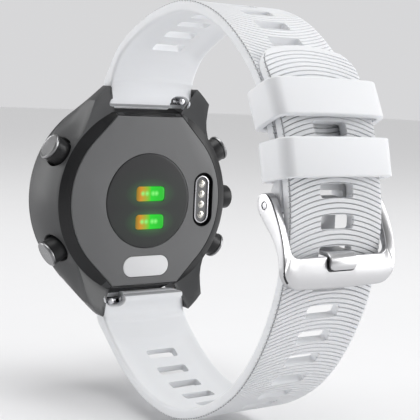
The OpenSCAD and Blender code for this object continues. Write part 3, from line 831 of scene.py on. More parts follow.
@dataclass
class BackFace:
    """Back cover, sensor window, light guides and blank label."""
    shell: CaseShell
    port: "ChargePort"
    window_r: float = 10.05
    light: Pair = (6.9, 3.1)
    light_x: float = -0.5
    light_z: tuple[float, float] = (1.5, -4.5)
    label: Pair = (11.1, 4.4)
    label_z: float = -13.975
    thick: float = 1.26

    def _guide(self, grow: float, low: float, high: float, edge: float) -> Mesh:
        """Returns a light guide's shape."""
        w, h = self.light[0] / 2 + grow, self.light[1] / 2 + grow
        corners = [(-w, -h), (w, -h), (w, h), (-w, h)]
        return slab(corners, {i: 0.75 for i in range(4)}, low, high, edge, both=False)

    def build(self) -> None:
        """Builds the back."""
        plate = post(1, self.thick, 180)
        for vert in plate.verts:
            x, y = self.shell.cover_edge(math.atan2(vert.co.y, vert.co.x), 0)
            vert.co = (x, y, vert.co.z - self.thick / 2)
        fillet(plate, rims(plate, 0), 0.3)
        seat = spun([(0, -0.8), (self.window_r + 0.05, -0.8), (self.window_r + 0.05, -0.14),
                     (self.window_r + 0.18, 0.01), (self.window_r + 0.18, 1), (0, 1)], 128)
        hole = spun([(0, -3), (self.window_r - 1.2, -3), (self.window_r - 1.2, 2), (0, 2)], 96)
        port = moved(pill(*self.port.size, -3, 0.02, flare=0.02),
                     Matrix.Translation((self.port.x, 0, 0)))
        pocket = moved(pill(self.label[0] + 0.1, self.label[1] + 0.1, -0.2, 0.02, flare=0.1),
                       Matrix.Translation((0, self.label_z, 0)))
        plate = carved(plate, [seat, hole, port, pocket])
        placed(moved(plate, outwards()), "back_plate", COVER, "watch",
               ["back_cover"], angle=25)
        dome = spun([(0, -0.7), (self.window_r, -0.7), (self.window_r, -0.04),
                     (self.window_r - 0.35, 0.0), (self.window_r * 0.6, 0.05), (0, 0.08)], 128,
                    {2: 0.1, 3: 0.1})
        holes = [moved(self._guide(0.05, -2, 2, 0.01), self._spot(z)) for z in self.light_z]
        placed(moved(carved(dome, holes), outwards()), "window_disc", WINDOW, "watch",
               ["sensor_window"])
        lights = [moved(self._guide(-0.02, -0.9, 0.07, 0.12), self._spot(z)) for z in self.light_z]
        placed(moved(joined(lights), outwards()), "light_bars", GUIDE, "watch",
               ["light_guides"])
        tag = pill(*self.label, -0.13, 0.05, edge=0.1)
        placed(moved(tag, outwards(0, 0, self.label_z)), "label_tag", LABEL, "watch",
               ["back_label"])

    def _spot(self, z: float) -> Matrix:
        """Returns the place of a light guide."""
        return Matrix.Translation((self.light_x, z, 0))


@dataclass
class ChargePort:
    """Charging socket with its ring and four contacts."""
    x: float = -13.95
    size: Pair = (5.0, 11.9)
    deep: float = 0.9
    pitch: float = 2.26

    def build(self) -> None:
        """Builds the socket."""
        w, h = self.size
        cup = pill(w - 0.04, h - 0.04, -2.3, -0.02)
        cup = carved(cup, [pill(w - 0.2, h - 0.2, -self.deep, 0.5)])
        spot = outwards(0, self.x, 0)
        placed(moved(cup, spot), "port_cup", BLACK, "watch", ["charge_socket"])
        ring = pill(w - 1.4, h - 1.4, -self.deep + 0.02, -self.deep + 0.42, edge=0.08)
        ring = carved(ring, [pill(w - 1.95, h - 1.95, -self.deep - 1, 1)])
        placed(moved(ring, spot), "port_ring", SMALL_STEEL, "watch",
               ["charge_ring"])
        floor = pill(w - 2.0, h - 2.0, -self.deep + 0.005, -self.deep + 0.12, edge=0.04)
        placed(moved(floor, spot), "port_floor", PORT_FLOOR, "watch")
        domes = []
        for k in (-1.5, -0.5, 0.5, 1.5):
            dome = spun([(0, 0), (0.78, 0), (0.78, 0.10), (0.66, 0.12), (0.62, 0.34), (0.4, 0.46),
                         (0, 0.5)], 40, {3: 0.03, 4: 0.08, 5: 0.1})
            domes.append(moved(dome, Matrix.Translation((0, k * self.pitch, -self.deep + 0.1))))
        placed(moved(joined(domes), spot), "port_contacts", CONTACT, "watch",
               ["charge_contacts"])


# ---- buttons ----

@dataclass
class Button:
    """One push button: its barrel and its metal cap."""
    name: str
    angle: float
    capped: bool = True
    radius: float = 2.8
    face: float = 23.98
    start: float = 20.25
    stem_r: float = 1.0
    stem_end: float = 17.1

    def build(self) -> None:
        """Builds the button."""
        top = self.face - 0.72 if self.capped else self.face - 0.3
        r = self.radius - 0.15
        name, spot = self.name, radial(self.angle, BUTTON_DEPTH)
        outline = [(0, self.stem_end), (self.stem_r, self.stem_end), (self.stem_r, self.start),
                   (r, self.start), (r, top), (0, top + (0 if self.capped else 0.12))]
        barrel = spun(outline, 72, {1: 0.12, 3: 0.15, 4: 0.12 if self.capped else 0.6})
        placed(moved(barrel, spot), f"{name}_barrel", BARREL, f"{name}_button",
               [f"{name}_button"])
        if self.capped:
            low = self.face - 0.70
            cap = spun([(0, low), (self.radius - 0.05, low), (self.radius, low + 0.15),
                        (self.radius, self.face - 0.2), (self.radius - 0.28, self.face),
                        (self.radius - 0.5, self.face - 0.07), (0, self.face - 0.02)], 96,
                       {1: 0.05, 3: 0.08, 4: 0.07, 5: 0.06})
            self._polar(cap)
            placed(moved(cap, spot), f"{name}_disc", TURNED, f"{name}_button",
                   [f"{name}_cap"])

    @staticmethod
    def _polar(cap: Mesh) -> None:
        """Gives the cap a UV map of angle and radius for its turned lines."""
        layer = cap.loops.layers.uv.new("turn")
        for face in cap.faces:
            middle = face.calc_center_median()
            base = math.atan2(middle.y, middle.x)
            for loop in face.loops:
                co = loop.vert.co
                r = math.hypot(co.x, co.y)
                a = math.atan2(co.y, co.x) if r > 1e-4 else base
                a = base + (a - base + math.pi) % math.tau - math.pi
                loop[layer].uv = (math.cos(a) * 0.5 + 0.5, r / 3)


# ---- strap ----

@dataclass
class Route:
    """A smooth curve through points in Y and Z; side is 1 where outwards is on its left."""
    points: Sequence[Pair]
    side: int = 1
    samples: int = 30
    _dists: list[float] = field(default_factory=list)
    _marks: list[tuple[Vector, Vector]] = field(default_factory=list)

    def __post_init__(self) -> None:
        """Measures the curve."""
        steps = self.samples * (len(self.points) - 1)
        spots = [self.curve(i / self.samples) for i in range(steps + 1)]
        total = 0.0
        for i, spot in enumerate(spots):
            if i:
                total += (spot - spots[i - 1]).length
            ahead, behind = spots[min(i + 1, steps)], spots[max(i - 1, 0)]
            self._dists.append(total)
            self._marks.append((spot, (ahead - behind).normalized()))

    def curve(self, u: float) -> Vector:
        """Returns the point number u, a fraction allowed."""
        last = len(self.points) - 1
        i = min(int(u), last - 1)
        t = u - i
        a, b, c, d = (Vector(self.points[min(max(k, 0), last)]) for k in range(i - 1, i + 3))
        return 0.5 * (2 * b + (c - a) * t + (2 * a - 5 * b + 4 * c - d) * t * t
                      + (3 * b - a - 3 * c + d) * t ** 3)

    @property
    def length(self) -> float:
        """Length of the curve."""
        return self._dists[-1]

    def spot(self, dist: float) -> tuple[Vector, Vector]:
        """Returns the point and the direction at a distance, straight on past the ends."""
        held = min(max(dist, 0.0), self.length)
        k = min(max(bisect_left(self._dists, held), 1), len(self._dists) - 1)
        t = (held - self._dists[k - 1]) / (self._dists[k] - self._dists[k - 1])
        (p, s), (q, r) = self._marks[k - 1], self._marks[k]
        way = s.lerp(r, t).normalized()
        return p.lerp(q, t) + way * (dist - held), way

    def lift(self, x: float, dist: float, high: float) -> Vector:
        """Returns the place in space of a point high above the curve, outwards."""
        p, way = self.spot(dist)
        off = self.side * high
        return Vector((x, p.x - way.y * off, p.y + way.x * off))


@dataclass
class Section:
    """Rule for the strap's cross-section: its edge fillets and the faces across its top."""
    top_round: float = 0.4
    low_round: float = 0.5
    faces: int = 24

    def points(self, half: float, low: float, high: float, groove: float,
               channel: float) -> list[Pair]:
        """Draws the loop round the strap at one level.

        Args:
            half: Half the width here.
            low: Height of the wrist side.
            high: Height of the outer side.
            groove: Depth of the groove on this level.
            channel: Depth of the shallow channel on the wrist side.

        Returns:
            The loop's points, the same number at each level.
        """
        rt = min(self.top_round, (high - low) * 0.4, half * 0.5)
        rl = min(self.low_round, (high - low) * 0.4, half * 0.5)
        flat = half - rt
        loop = [(-flat + 2 * flat * i / self.faces, high - groove) for i in range(self.faces + 1)]
        for a, mask in ((30, 1.0), (60, 0.9), (90, 0.15)):
            s, c = math.sin(math.radians(a)), math.cos(math.radians(a))
            loop.append((flat + rt * s - groove * mask * s, high - rt + (rt - groove * mask) * c))
        flat = half - rl
        for a in (90, 60, 30, 0):
            s, c = math.sin(math.radians(a)), math.cos(math.radians(a))
            loop.append((flat + rl * s, low + rl - rl * c))
        for share, deep in ((0.915, 0.1), (0.84, 0.45), (0.76, 0.8), (0.68, 0.97), (0.6, 1.0),
                            (0.3, 1.0)):
            loop.append((half * share, low + channel * deep))
        right = loop[self.faces + 1:]
        loop.append((0.0, low + channel))
        loop.extend((-x, z) for x, z in reversed(right))
        return loop


@dataclass
class StrapHalf:
    """One half of the strap, grooved outside and hollowed along its wrist side."""
    name: str
    body: str
    node: str
    route: Route
    slots: Sequence[float]
    notch_x: float
    tail: bool
    width: float = 20.0
    band: float = 2.0
    root: float = 3.8
    slot_size: Pair = (6.8, 2.3)
    groove_pitch: float = 0.82
    groove_depth: float = 0.30
    arc: float = 22.5
    pin_h: float = 0.76
    pin_r: float = 1.6
    pin_past: float = 0.38
    tip_curve: float = 3.2
    ridges: tuple[Pair, ...] = ((4.2, 0.14), (2.0, 0.06))
    # span of the rounded root, on its wrist side, painted grey as the shade where it meets the case
    root_crease_shade: Pair = (-1.32, -0.9)
    groove_form: tuple[Pair, ...] = ((0.0, 0), (0.09, 1), (0.21, 1), (0.30, 0), (0.65, 0))

    def thickness(self, dist: float) -> float:
        """Returns the strap's thickness at a distance from its spring bar."""
        return self.band + (self.root - self.band) * max(0.0, 1 - dist / 13) ** 2

    def levels(self) -> list[tuple[float, float, float]]:
        """Returns the strap's levels: distance, groove depth, and share of the full section."""
        end = self.route.length
        radius = self.root / 2
        rows = [(-radius * math.sin(a), 0.0, math.cos(a))
                for a in map(math.radians, (86, 68, 48, 28, 12))]
        first, last = 6.0, end - (0.75 if self.tail else 3.6)
        rows += [(first * i / 15, 0.0, 1.0) for i in range(15)]
        count = int((last - first) / self.groove_pitch)
        for n in range(count):
            at = first + n * self.groove_pitch
            rows += [(at + phase * self.groove_pitch, deep * self.groove_depth, 1.0)
                     for phase, deep in self.groove_form]
        at = first + count * self.groove_pitch
        if self.tail:
            rows += [(at, 0.0, 1.0), (end - 0.35, 0.0, 1.0),
                     (end - 0.15, 0.0, 0.85), (end - 0.04, 0.0, 0.6), (end, 0.0, 0.25)]
        else:
            nose = end + self.pin_past
            rows += [(at + (nose - at) * i / 5, 0.0, 1.0) for i in range(6)]
            rows += [(nose + self.pin_r * math.sin(a), 0.0, math.cos(a))
                     for a in map(math.radians, (20, 40, 60, 75, 86))]
        return rows

    def flat_blank(self) -> Mesh:
        """Returns the strap half unrolled: X across, Y along and Z outwards."""
        end = self.route.length
        rows = self.levels()
        section = Section()
        loops = []
        for dist, groove, share in rows:
            low, high = 0.0, self.thickness(max(dist, 0))
            half = self.width / 2
            for ridge, rise in self.ridges:
                low -= rise * math.exp(-((dist - ridge) / 0.45) ** 2)
            channel = 0.38 * smooth(dist, 9.0, 12.5)
            bow = smooth(dist, 2.0, 9.0)
            if self.tail:
                into = max(dist - (end - self.tip_curve), 0) / self.tip_curve
                half -= self.tip_curve * (1 - math.sqrt(max(1 - into * into, 0)))
                channel *= 1 - smooth(dist, end - 7, end - 4)
            else:
                near = smooth(dist, end - 3.5, end - 0.6)
                low += (self.pin_h - self.pin_r) * near
                high += (self.pin_h + self.pin_r - high) * near
                bow *= 1 - smooth(dist, end - 12, end - 4)
                channel *= 1 - smooth(dist, end - 9, end - 6)
            points = section.points(half, low, high, groove, channel)
            middle = (low + high) / 2
            loops.append([Vector((x, dist - bow * x * x / (2 * self.arc),
                                  middle + (z - middle) * share)) for x, z in points])
        bm = wrapped(len(loops[0]), len(rows) - 1, lambda i, j: loops[j][i], ring_across=True)
        close_ends(bm)
        # the second slot paints shade: a darker grey on the groove floors and along the root's
        # crease against the case
        for face in bm.faces:
            middle = face.calc_center_median()
            dist = middle.y + middle.x ** 2 / (2 * self.arc)
            top = self.thickness(max(dist, 0)) - 0.4 * self.groove_depth
            in_groove_shade = 0.8 * top < middle.z < top and face.normal.z > 0.5
            # painted shade line where the root turns into the case's well
            on_root_crease_shade = (self.root_crease_shade[0] < middle.y < self.root_crease_shade[1]
                       and middle.z < self.root / 2)
            face.material_index = int(in_groove_shade and dist > 6 or on_root_crease_shade)
        return bm

    def cutters(self) -> list[Mesh]:
        """Returns the cutters for slots, spring bar, notch and prong."""
        tools = []
        a, b = self.slot_size[0] / 2, self.slot_size[1] / 2
        for dist in self.slots:
            high = self.thickness(dist)
            levels = ((-1.0, 0.25), (0.0, 0.16), (0.4, 0.03), (0.7, 0.0), (high - 0.5, 0.0),
                      (high - 0.2, 0.03), (high, 0.14), (high + 1.0, 0.22))
            tools.append(moved(self._shaft(a, b, 0.55, levels),
                               Matrix.Translation((0, dist, 0))))
        tools.append(moved(post(0.8, 30, 40), laid(0, 0, self.root / 2)))
        notch = self._shaft(2.3, 3.0, 1.7, ((-1.0, 0.3), (0.0, 0.18), (0.5, 0.0),
                                            (self.root - 0.9, 0.0)))
        tools.append(moved(notch, Matrix.Translation((self.notch_x, -2.0, 0))))
        if not self.tail:
            nose = self.route.length + self.pin_past
            tools.append(moved(post(0.81, 30, 40), laid(0, nose, self.pin_h)))
            gap = self._shaft(3.3, 3.7, 0.5, ((-3, 0.1), (0, 0.0), (2, 0.0), (5, 0.1)))
            tools.append(moved(gap, Matrix.Translation((0, nose + 1.3, 0))))
        return tools

    @staticmethod
    def _shaft(a: float, b: float, radius: float, levels: Sequence[Pair]) -> Mesh:
        """Returns a rounded-rectangle cutter that widens with its levels of (height, growth)."""
        corners = [(sx * (a - radius), sy * (b - radius), start)
                   for sx, sy, start in ((1, 1, 0), (-1, 1, 90), (-1, -1, 180), (1, -1, 270))]

        def place(i: int, j: int) -> Vector:
            """Returns the place of a corner of the grid."""
            cx, cy, start = corners[i // 6]
            turn = math.radians(start + 18 * (i % 6))
            high, grow = levels[j]
            r = radius + grow
            return Vector((cx + r * math.cos(turn), cy + r * math.sin(turn), high))

        return close_ends(wrapped(24, len(levels) - 1, place, ring_across=True))

    def build(self) -> None:
        """Builds the strap half."""
        flat = carved(self.flat_blank(), self.cutters())
        for vert in flat.verts:
            x, dist, high = vert.co
            vert.co = self.route.lift(x, dist, high)
        if self.route.side > 0:
            bmesh.ops.reverse_faces(flat, faces=flat.faces)
        bmesh.ops.recalc_face_normals(flat, faces=flat.faces)
        strap = placed(flat, self.name, SILICONE, self.body, [self.node],
                       angle=38)
        # second slot: the grey painted as groove and crease shade
        strap.data.materials.append(GROOVE_SHADE.material())


@dataclass
class SpringBar:
    """A quick-release knob and its sliding tip; side is 1 for the upper bar."""
    name: str
    side: int
    knob: float = 7.85

    def build(self) -> None:
        """Builds the knob and the tip."""
        tip = spun([(0, 0), (0.4, 0), (0.4, 5.3), (0, 5.3)], 32, {2: 0.15})
        tip = moved(tip, laid(self.knob - 1.65, -BAR_DEPTH, BAR_Z))
        stud = spun([(0, 0), (0.45, 0), (0.45, 1.0), (0.68, 1.1), (0.68, 1.5), (0, 1.6)], 40,
                    {3: 0.06, 4: 0.15})
        stud = moved(stud, Matrix.Translation((self.knob, -BAR_DEPTH, BAR_Z))
                     @ Matrix.Rotation(-math.pi / 2, 4, "X"))
        flip = Matrix.Diagonal((-1, 1, 1, 1) if self.side > 0 else (1, 1, -1, 1))
        placed(moved(joined([tip, stud]), flip), f"{self.name}_knob", SMALL_STEEL,
               f"{self.name}_release", [f"{self.name}_bar_pin"])


@dataclass
class Keeper:
    """A moulded loop that holds the tail down."""
    name: str
    route: Route
    dist: float
    half: float = 10.45
    stack: float = 4.3
    gap: float = 0.45
    wall: float = 1.4
    length: float = 6.6
    crown: float = 0.5
    corner: float = 0.7
    edge: float = 0.32

    def ring(self, off: float) -> list[Pair]:
        """Returns the loop at an offset from its inside, as (x, height)."""
        high = self.stack / 2 + self.gap
        r = self.corner
        a, b = self.half - r, high - r
        q = r + off
        points: list[Pair] = []
        for cx, cz, start in ((a, b, 90), (a, -b, 0), (-a, -b, -90), (-a, b, -180)):
            for k in range(8):
                turn = math.radians(start - 90 * k / 7)
                points.append((cx + q * math.cos(turn), cz + q * math.sin(turn)))
            if cz == b and cx > 0:
                points += [(a + q, b * (1 - 2 * t / 4)) for t in range(1, 4)]
            elif cx > 0:
                points += [(a * (1 - 2 * t / 12), -b - q) for t in range(1, 12)]
            elif cz < 0:
                points += [(-a - q, -b * (1 - 2 * t / 4)) for t in range(1, 4)]
            else:
                points += [(-a * (1 - 2 * t / 24), b + q) for t in range(1, 24)]
        raised = []
        for x, z in points:
            lift = self.crown * (1 - (x / (self.half + self.wall)) ** 2) * smooth(z, 0, b)
            raised.append((x, z + max(lift, 0) + self.stack / 2))
        return raised

    def build(self) -> None:
        """Builds the keeper."""
        r = self.edge
        a, b = self.wall / 2 - r, self.length / 2 - r
        wall: list[Pair] = []
        for ca, cb, start in ((a, b, 0), (-a, b, 90), (-a, -b, 180), (a, -b, 270)):
            wall += [(ca + r * math.cos(math.radians(start + 22.5 * k)),
                      cb + r * math.sin(math.radians(start + 22.5 * k))) for k in range(5)]
        rings = [self.ring(self.wall / 2 + off) for off, _ in wall]
        spot, way = self.route.spot(self.dist)

        def place(i: int, j: int) -> Vector:
            """Returns the place of a corner of the grid."""
            x, high = rings[j][i]
            along = wall[j][1]
            y = spot.x + way.x * along - way.y * high
            z = spot.y + way.y * along + way.x * high
            return Vector((x, y, z))

        bm = wrapped(len(rings[0]), len(wall), place, ring_across=True, ring_along=True)
        bmesh.ops.recalc_face_normals(bm, faces=bm.faces)
        placed(bm, f"{self.name}_loop", SILICONE, self.name, [self.name])


# ---- buckle ----

@dataclass
class Buckle:
    """The frame, pin and prong of the buckle."""
    pin: Pair = BUCKLE_PIN
    inner: float = 10.4
    arm: float = 1.7
    bar_y: float = 61.4
    bar_top: float = -2.65
    bar_low: float = -7.45
    thick: float = 1.3
    eye_half: float = 1.95
    eye_len: float = 2.0
    recess: Pair = (3.1, -4.75)
    recess_deep: float = 0.35
    sink_r: float = 0.74
    prong_half: float = 2.8
    prong_thick: float = 0.8
    prong_nose: float = 0.7

    def frame(self) -> Mesh:
        """Returns the frame: a U laid flat, rounded, and bent along its side view."""
        side = Route([(self.pin[0] - 1.45, self.pin[1] + 1.45), self.pin, (57.7, 3.9),
                      (59.2, 2.0), (60.4, 0.0), (61.15, -2.2), (self.bar_y, -4.4),
                      (self.bar_y, self.bar_low + 0.1)])
        end = side.length
        out = self.inner + self.arm
        foot = end - (self.bar_top - self.bar_low) - 0.3
        inside = self._half_loop(self.inner, foot, 1.5, 0.0)
        outside = self._half_loop(out, end, 3.4, 0.3)
        last = len(inside) - 1
        count = 6

        def place(i: int, j: int) -> Vector:
            """Returns the place of a corner of the grid."""
            mirror = -1 if j <= last else 1
            k = j if j <= last else 2 * last - j
            (xi, di), (xo, do) = inside[k], outside[k]
            # the section is a rounded rectangle: across is 0 inside, 1 outside
            part, step = divmod(i, count)
            wide = math.hypot(xo - xi, do - di)
            dist = (di + do) / 2
            t = smooth(dist, self.eye_len, foot + 0.6)
            half = self.eye_half + (self.thick / 2 - self.eye_half) * t ** 0.8
            if dist < self.eye_len:
                back = (self.eye_len - dist) / (self.eye_len + 0.02)
                half = self.eye_half * math.sqrt(max(1 - back ** 2, 0.0004))
            r = min(0.28, half * 0.6)
            turn = math.radians(90 * part + 90 * step / (count - 1))
            cx = (wide - r, r, r, wide - r)[part]
            cz = (half - r, half - r, r - half, r - half)[part]
            across = (cx + r * math.cos(turn)) / wide
            high = cz + r * math.sin(turn)
            bar = smooth(dist, foot - 1.0, foot + 1.5)
            if high > 0:
                high += 0.28 * bar * (1 - (2 * across - 1) ** 2)
                across -= 0.22 * t * (high / half) * smooth(across, 0.5, 1.0) / wide
            return side.lift(mirror * (xi + (xo - xi) * across), di + (do - di) * across, high)

        plate = close_ends(wrapped(4 * count, 2 * last, place, ring_across=True))
        wide, low = self.recess
        recess = slab([(-wide, low), (wide, low), (wide, 0), (-wide, 0)], {0: 0.8, 1: 0.8},
                      0, 3, 0.01)
        face = self.bar_y + self.thick / 2 - self.recess_deep
        stand = Matrix(((1, 0, 0, 0), (0, 0, 1, 0), (0, 1, 0, 0), (0, 0, 0, 1)))
        tools = [moved(recess, Matrix.Translation((0, face, 0)) @ stand)]
        for side_x in (-1, 1):
            sink = spun([(0, 0), (self.sink_r, 0), (self.sink_r, 1), (0, 1)], 40)
            tools.append(moved(sink, Matrix.Translation((side_x * (out - 0.3), *self.pin))
                               @ Matrix.Rotation(side_x * math.pi / 2, 4, "Y")))
        plate = carved(plate, tools)
        # the second slot paints shade into the bar's recess and a dark reflection along the bevel
        # between each arm's outer side and its front
        for item in plate.faces:
            spot = item.calc_center_median()
            cut = abs(spot.y - face) < 0.02 or abs(item.normal.y) < 0.2
            recess_shade = (abs(spot.x) < wide + 0.01 and spot.z > low - 0.01
                    and face - 0.02 < spot.y and cut)
            # faces of that bevel, painted dark as a reflection
            edge = (0.45 < abs(item.normal.x) < 0.9 and item.normal.y > 0.2
                    and abs(spot.x) > out - 1.2)
            item.material_index = int(recess_shade or edge)
        return plate

    @staticmethod
    def _half_loop(x: float, end: float, radius: float, sag: float) -> list[Pair]:
        """Draws half of a U, from an arm's tip to the middle of its foot.

        Args:
            x: Half the U's width.
            end: Distance of the foot from the arm's tip.
            radius: Radius of the corner.
            sag: How much further the middle of the foot reaches.

        Returns:
            Points of (half width, distance).
        """
        points = [(x, (end - radius) * (k / 44) ** 1.15) for k in range(45)]
        for k in range(1, 11):
            turn = math.radians(9 * k)
            points.append((x - radius + radius * math.cos(turn),
                           end - radius + radius * math.sin(turn)))
        flat = x - radius
        points += [(flat * (1 - k / 14), end) for k in range(1, 15)]
        return [(a, b + sag * (1 - (a / x) ** 2) * smooth(b, end - 2 * radius, end))
                for a, b in points]

    def prong(self) -> Mesh:
        """Returns the prong: a strip bent from its barrel through the slot and over the bar."""
        face = self.bar_y + self.thick / 2
        way = Route([(56.3, 4.9), (56.35, 3.4), (56.4, 0.6), (56.9, -1.2), (58.4, -1.75),
                     (60.2, -1.85), (61.3, -2.0), (face + 0.1, -2.7), (face + 0.3, -3.5),
                     (face + 0.2, -4.35)])
        end, w = way.length, self.prong_half
        r, nose, count = 0.18, self.prong_nose, 70

        def place(i: int, j: int) -> Vector:
            """Returns the place of a corner of the grid."""
            part, step = divmod(i, 5)
            turn = math.radians(90 * part + 22.5 * step)
            dist = end * j / count
            near = min(max(nose - (end - dist), 0), nose)
            wide = w - nose + math.sqrt(max(nose * nose - near * near, 0))
            x = (wide - r) * (1, -1, -1, 1)[part] + r * math.cos(turn)
            side = (1, 1, -1, -1)[part]
            return way.lift(x, dist, (self.prong_thick / 2 - r) * side + r * math.sin(turn))

        strip = close_ends(wrapped(20, count, place, ring_across=True))
        barrel = spun([(0.8, -w), (1.5, -w), (1.5, w), (0.8, w)], 48, {1: 0.15, 2: 0.15},
                      ring=True)
        return joined([strip, moved(barrel, laid(0, *self.pin))])

    def build(self) -> None:
        """Builds the buckle."""
        loop = placed(self.frame(), "buckle_loop", POLISHED, "buckle",
                      ["buckle_frame"], angle=30)
        # second slot: the painted recess shade and bevel reflection
        loop.data.materials.append(PAINTED_SHADE_STEEL.material())
        half = self.inner + self.arm
        rod = spun([(0, -half + 0.02), (0.56, -half + 0.02), (0.56, half - 0.02),
                    (0, half - 0.02)], 48, {1: 0.1, 2: 0.1})
        placed(moved(rod, laid(0, *self.pin)), "buckle_rod", SMALL_STEEL, "buckle",
               ["buckle_pin"])
        placed(self.prong(), "prong_strip", POLISHED, "prong",
               ["buckle_prong"], angle=30)


@dataclass
class Strap:
    """Both strap halves, the keepers and the spring bars."""
    root_y: float = -0.1
    lap: float = 2.3
    pitch: float = 5.0
    prong_z: float = -1.9
    first_slot: float = 13
    last_slot: float = 7.9          # the least distance left past a slot of the buckle half
    tail_slots: Pair = (12, 10)     # the least distances left before and after the tail's slots
    keepers: Pair = (6.6, 15.6)     # distances back from the end of the buckle half

    def routes(self) -> tuple[Route, Route]:
        """Returns the curves of the buckle half and of the tail, on their wrist sides."""
        over = [(self.root_y, 0), (self.root_y + 0.15, 3.4), (3.4, 8.8), (10, 12.9),
                (17.4, 15.6), (26.5, 16.8), (35.5, 14.7), (43.1, 10), (48.9, 4.1), (52.4, -2.2),
                (54.7, -8.8), (55.4, -15.2)]
        upper = Route([(y, z + BAR_Z) for y, z in over], 1)
        under = [(self.root_y, 0), (self.root_y + 0.4, 3), (4.4, 7), (11, 11.3), (19, 14.2),
                 (28.2, 14.7), (37.8, 11.6), (46.4, 5.8), (52.5, -2), (56.6, -11), (58.2, -19)]
        points = [(y, -z - BAR_Z) for y, z in under]
        points.append((BUCKLE_PIN[0] + 2.15, BUCKLE_PIN[1] - 1))
        for k in range(6):
            u = 10.1 - 0.55 * k
            spot = upper.curve(u)
            way = (upper.curve(u + 0.01) - upper.curve(u - 0.01)).normalized()
            points.append((spot.x - way.y * self.lap, spot.y + way.x * self.lap))
        return upper, Route(points, -1)

    def build(self) -> None:
        """Builds the strap."""
        upper, lower = self.routes()
        count = math.ceil((upper.length - self.last_slot - self.first_slot) / self.pitch)
        slots = [self.first_slot + self.pitch * k for k in range(count)]
        StrapHalf("buckle_half_strap", "buckle_half", "buckle_strap", upper, slots, -7.0,
                  False).build()
        low, high = lower.length * 0.6, lower.length
        for _ in range(40):
            middle = (low + high) / 2
            low, high = (middle, high) if lower.spot(middle)[0].y < self.prong_z else (low, middle)
        before, after = self.tail_slots
        first = low - self.pitch * math.floor((low - before) / self.pitch)
        count = int((lower.length - after - first) / self.pitch) + 1
        StrapHalf("tail_half_strap", "tail_half", "tail_strap", lower,
                  [first + self.pitch * k for k in range(count)], 7.0, True).build()
        for name, back in zip(("lower_keeper", "upper_keeper"), self.keepers):
            Keeper(name, upper, upper.length - back).build()
        for name, side in (("upper", 1), ("lower", -1)):
            SpringBar(name, side).build()


# ---- carried-over pieces ----

CARRIED: dict[str, Finish] = {
    "display_panel": PANEL, "inner_frame": FRAME, "circuit_board": BOARD, "sensor_board": BOARD,
    "battery": FOIL, "antenna_ring": COPPER, "motor_weight": ROTOR, "beeper_disc": BRASS,
    "back_seal": RUBBER, "button_seals": RUBBER, "button_switches": SWITCH,
    **dict.fromkeys(("board_screws", "motor_can", "start_clip", "return_clip", "light_clip",
                     "down_clip", "up_clip", "upper_bar", "lower_bar"), SMALL_STEEL),
}


def dress_frame() -> None:
    """Gives the frame's own pieces their finishes."""
    for name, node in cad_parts.items():
        finish = CARRIED.get(name, FRAME)
        if not node.material_slots:
            node.data.materials.append(None)
        for slot in node.material_slots:
            slot.material = finish.material()


# ---- studio ----

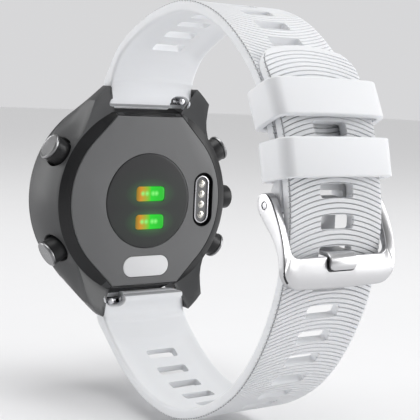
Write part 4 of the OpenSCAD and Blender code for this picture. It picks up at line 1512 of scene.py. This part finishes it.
@dataclass
class Studio:
    """Camera, floor and lights."""
    azimuth: float = 145.533
    elevation: float = 6.406
    roll: float = 2.544
    eye: tuple[float, float, float] = (113.964, 189.256, 23.423)
    focal_share: float = 1045.33 / 420
    floor_z: float = -41.0
    sensor: float = 36.0

    def camera(self) -> None:
        """Places the camera."""
        a, e, r = (math.radians(v) for v in (self.azimuth, self.elevation, self.roll))
        ahead = Vector((-math.sin(a) * math.cos(e), math.cos(a) * math.cos(e), -math.sin(e)))
        right = ahead.cross(Vector((0, 0, 1))).normalized()
        up = right.cross(ahead)
        side = right * math.cos(r) + up * math.sin(r)
        top = up * math.cos(r) - right * math.sin(r)
        data = bpy.data.cameras.new("camera")
        data.sensor_width = self.sensor
        data.lens = self.focal_share * self.sensor
        data.clip_start, data.clip_end = 0.01, 10
        camera = linked("camera", data)
        turn = Matrix((side, top, -ahead)).transposed().to_4x4()
        camera.matrix_world = Matrix.Translation(Vector(self.eye) * MM) @ turn
        bpy.context.scene.camera = camera

    def lamp(self, name: str, place: tuple[float, float, float], size: Pair, power: float,
             aim: tuple[float, float, float] = (0, 0.02, 0)) -> None:
        """Adds a soft rectangular lamp that points at the watch."""
        data = bpy.data.lights.new(name, "AREA")
        data.shape, data.size, data.size_y = "RECTANGLE", *size
        data.energy = power
        obj = linked(name, data)
        obj.location = place
        obj.rotation_euler = (Vector(aim) - Vector(place)).to_track_quat("-Z", "Y").to_euler()

    def build(self) -> None:
        """Builds the floor and the lights."""
        floor = bmesh.new()
        bmesh.ops.create_grid(floor, x_segments=1, y_segments=1, size=2.5)
        bmesh.ops.translate(floor, verts=floor.verts, vec=(0, 0, self.floor_z * MM))
        ground = as_object(floor, "floor")
        ground.data.materials.append(Finish("pale floor", (0.80, 0.80, 0.81), 0.8, size=40,
                                            variation=0.02, bump=0.02).material())
        self.surround()
        bpy.context.scene.view_settings.view_transform = "Standard"
        self.lamp("right softbox", (-0.50, 0.36, 0.14), (0.35, 0.55), 2.6)
        self.lamp("rear softbox", (0.42, -0.42, 0.10), (0.22, 0.5), 1.6)
        self.lamp("top softbox", (-0.05, 0.10, 0.55), (0.40, 0.30), 0.7)
        sky = bpy.data.lights.new("overhead", "SUN")
        sky.energy, sky.angle = 1.25, math.radians(50)
        linked("overhead", sky)
        self.lamp("left fill", (0.52, 0.10, 0.05), (0.12, 0.35), 0.2)

    def surround(self) -> None:
        """Makes the room light: pale all round, and dim where the camera stands."""
        world = bpy.data.worlds.new("studio")
        bpy.context.scene.world = world
        world.use_nodes = True
        nodes, back = Nodes(world.node_tree), world.node_tree.nodes["Background"]
        coord = nodes.add("ShaderNodeTexCoord")
        toward = nodes.add("ShaderNodeVectorMath", {
            0: coord.outputs["Generated"], 1: Vector((0.62, 0.74, -0.05)).normalized(),
        }, "DOT_PRODUCT")
        ramp = nodes.add("ShaderNodeMapRange", {
            "Value": toward.outputs["Value"], "From Min": 0.25, "From Max": 0.95,
            "To Min": 0.62, "To Max": 0.05,
        })
        nodes.feed(back, {"Color": ramp.outputs["Result"], "Strength": 0.65})
        seen = nodes.add("ShaderNodeBackground", {"Color": (0.68, 0.68, 0.69, 1)})
        path = nodes.add("ShaderNodeLightPath")
        both = nodes.add("ShaderNodeMixShader", {
            "Fac": path.outputs["Is Camera Ray"], 1: back.outputs["Background"],
            2: seen.outputs["Background"],
        })
        nodes.feed(world.node_tree.nodes["World Output"], {"Surface": both.outputs["Shader"]})


def main() -> None:
    """Builds the watch and its studio."""
    logging.basicConfig(level=logging.INFO, format="%(name)s: %(message)s")
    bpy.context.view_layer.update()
    studio = Studio()
    studio.camera()
    dress_frame()
    shell = CaseShell()
    shell.build()
    FrontFace().build()
    port = ChargePort()
    BackFace(shell, port).build()
    port.build()
    for name, angle, capped in (("start", 28, True), ("return", -28, True), ("light", 152, True),
                                ("down", 208, True), ("up", 180, False)):
        Button(name, angle, capped).build()
    Strap().build()
    Buckle().build()
    studio.build()


if __name__ == "__main__":
    main()
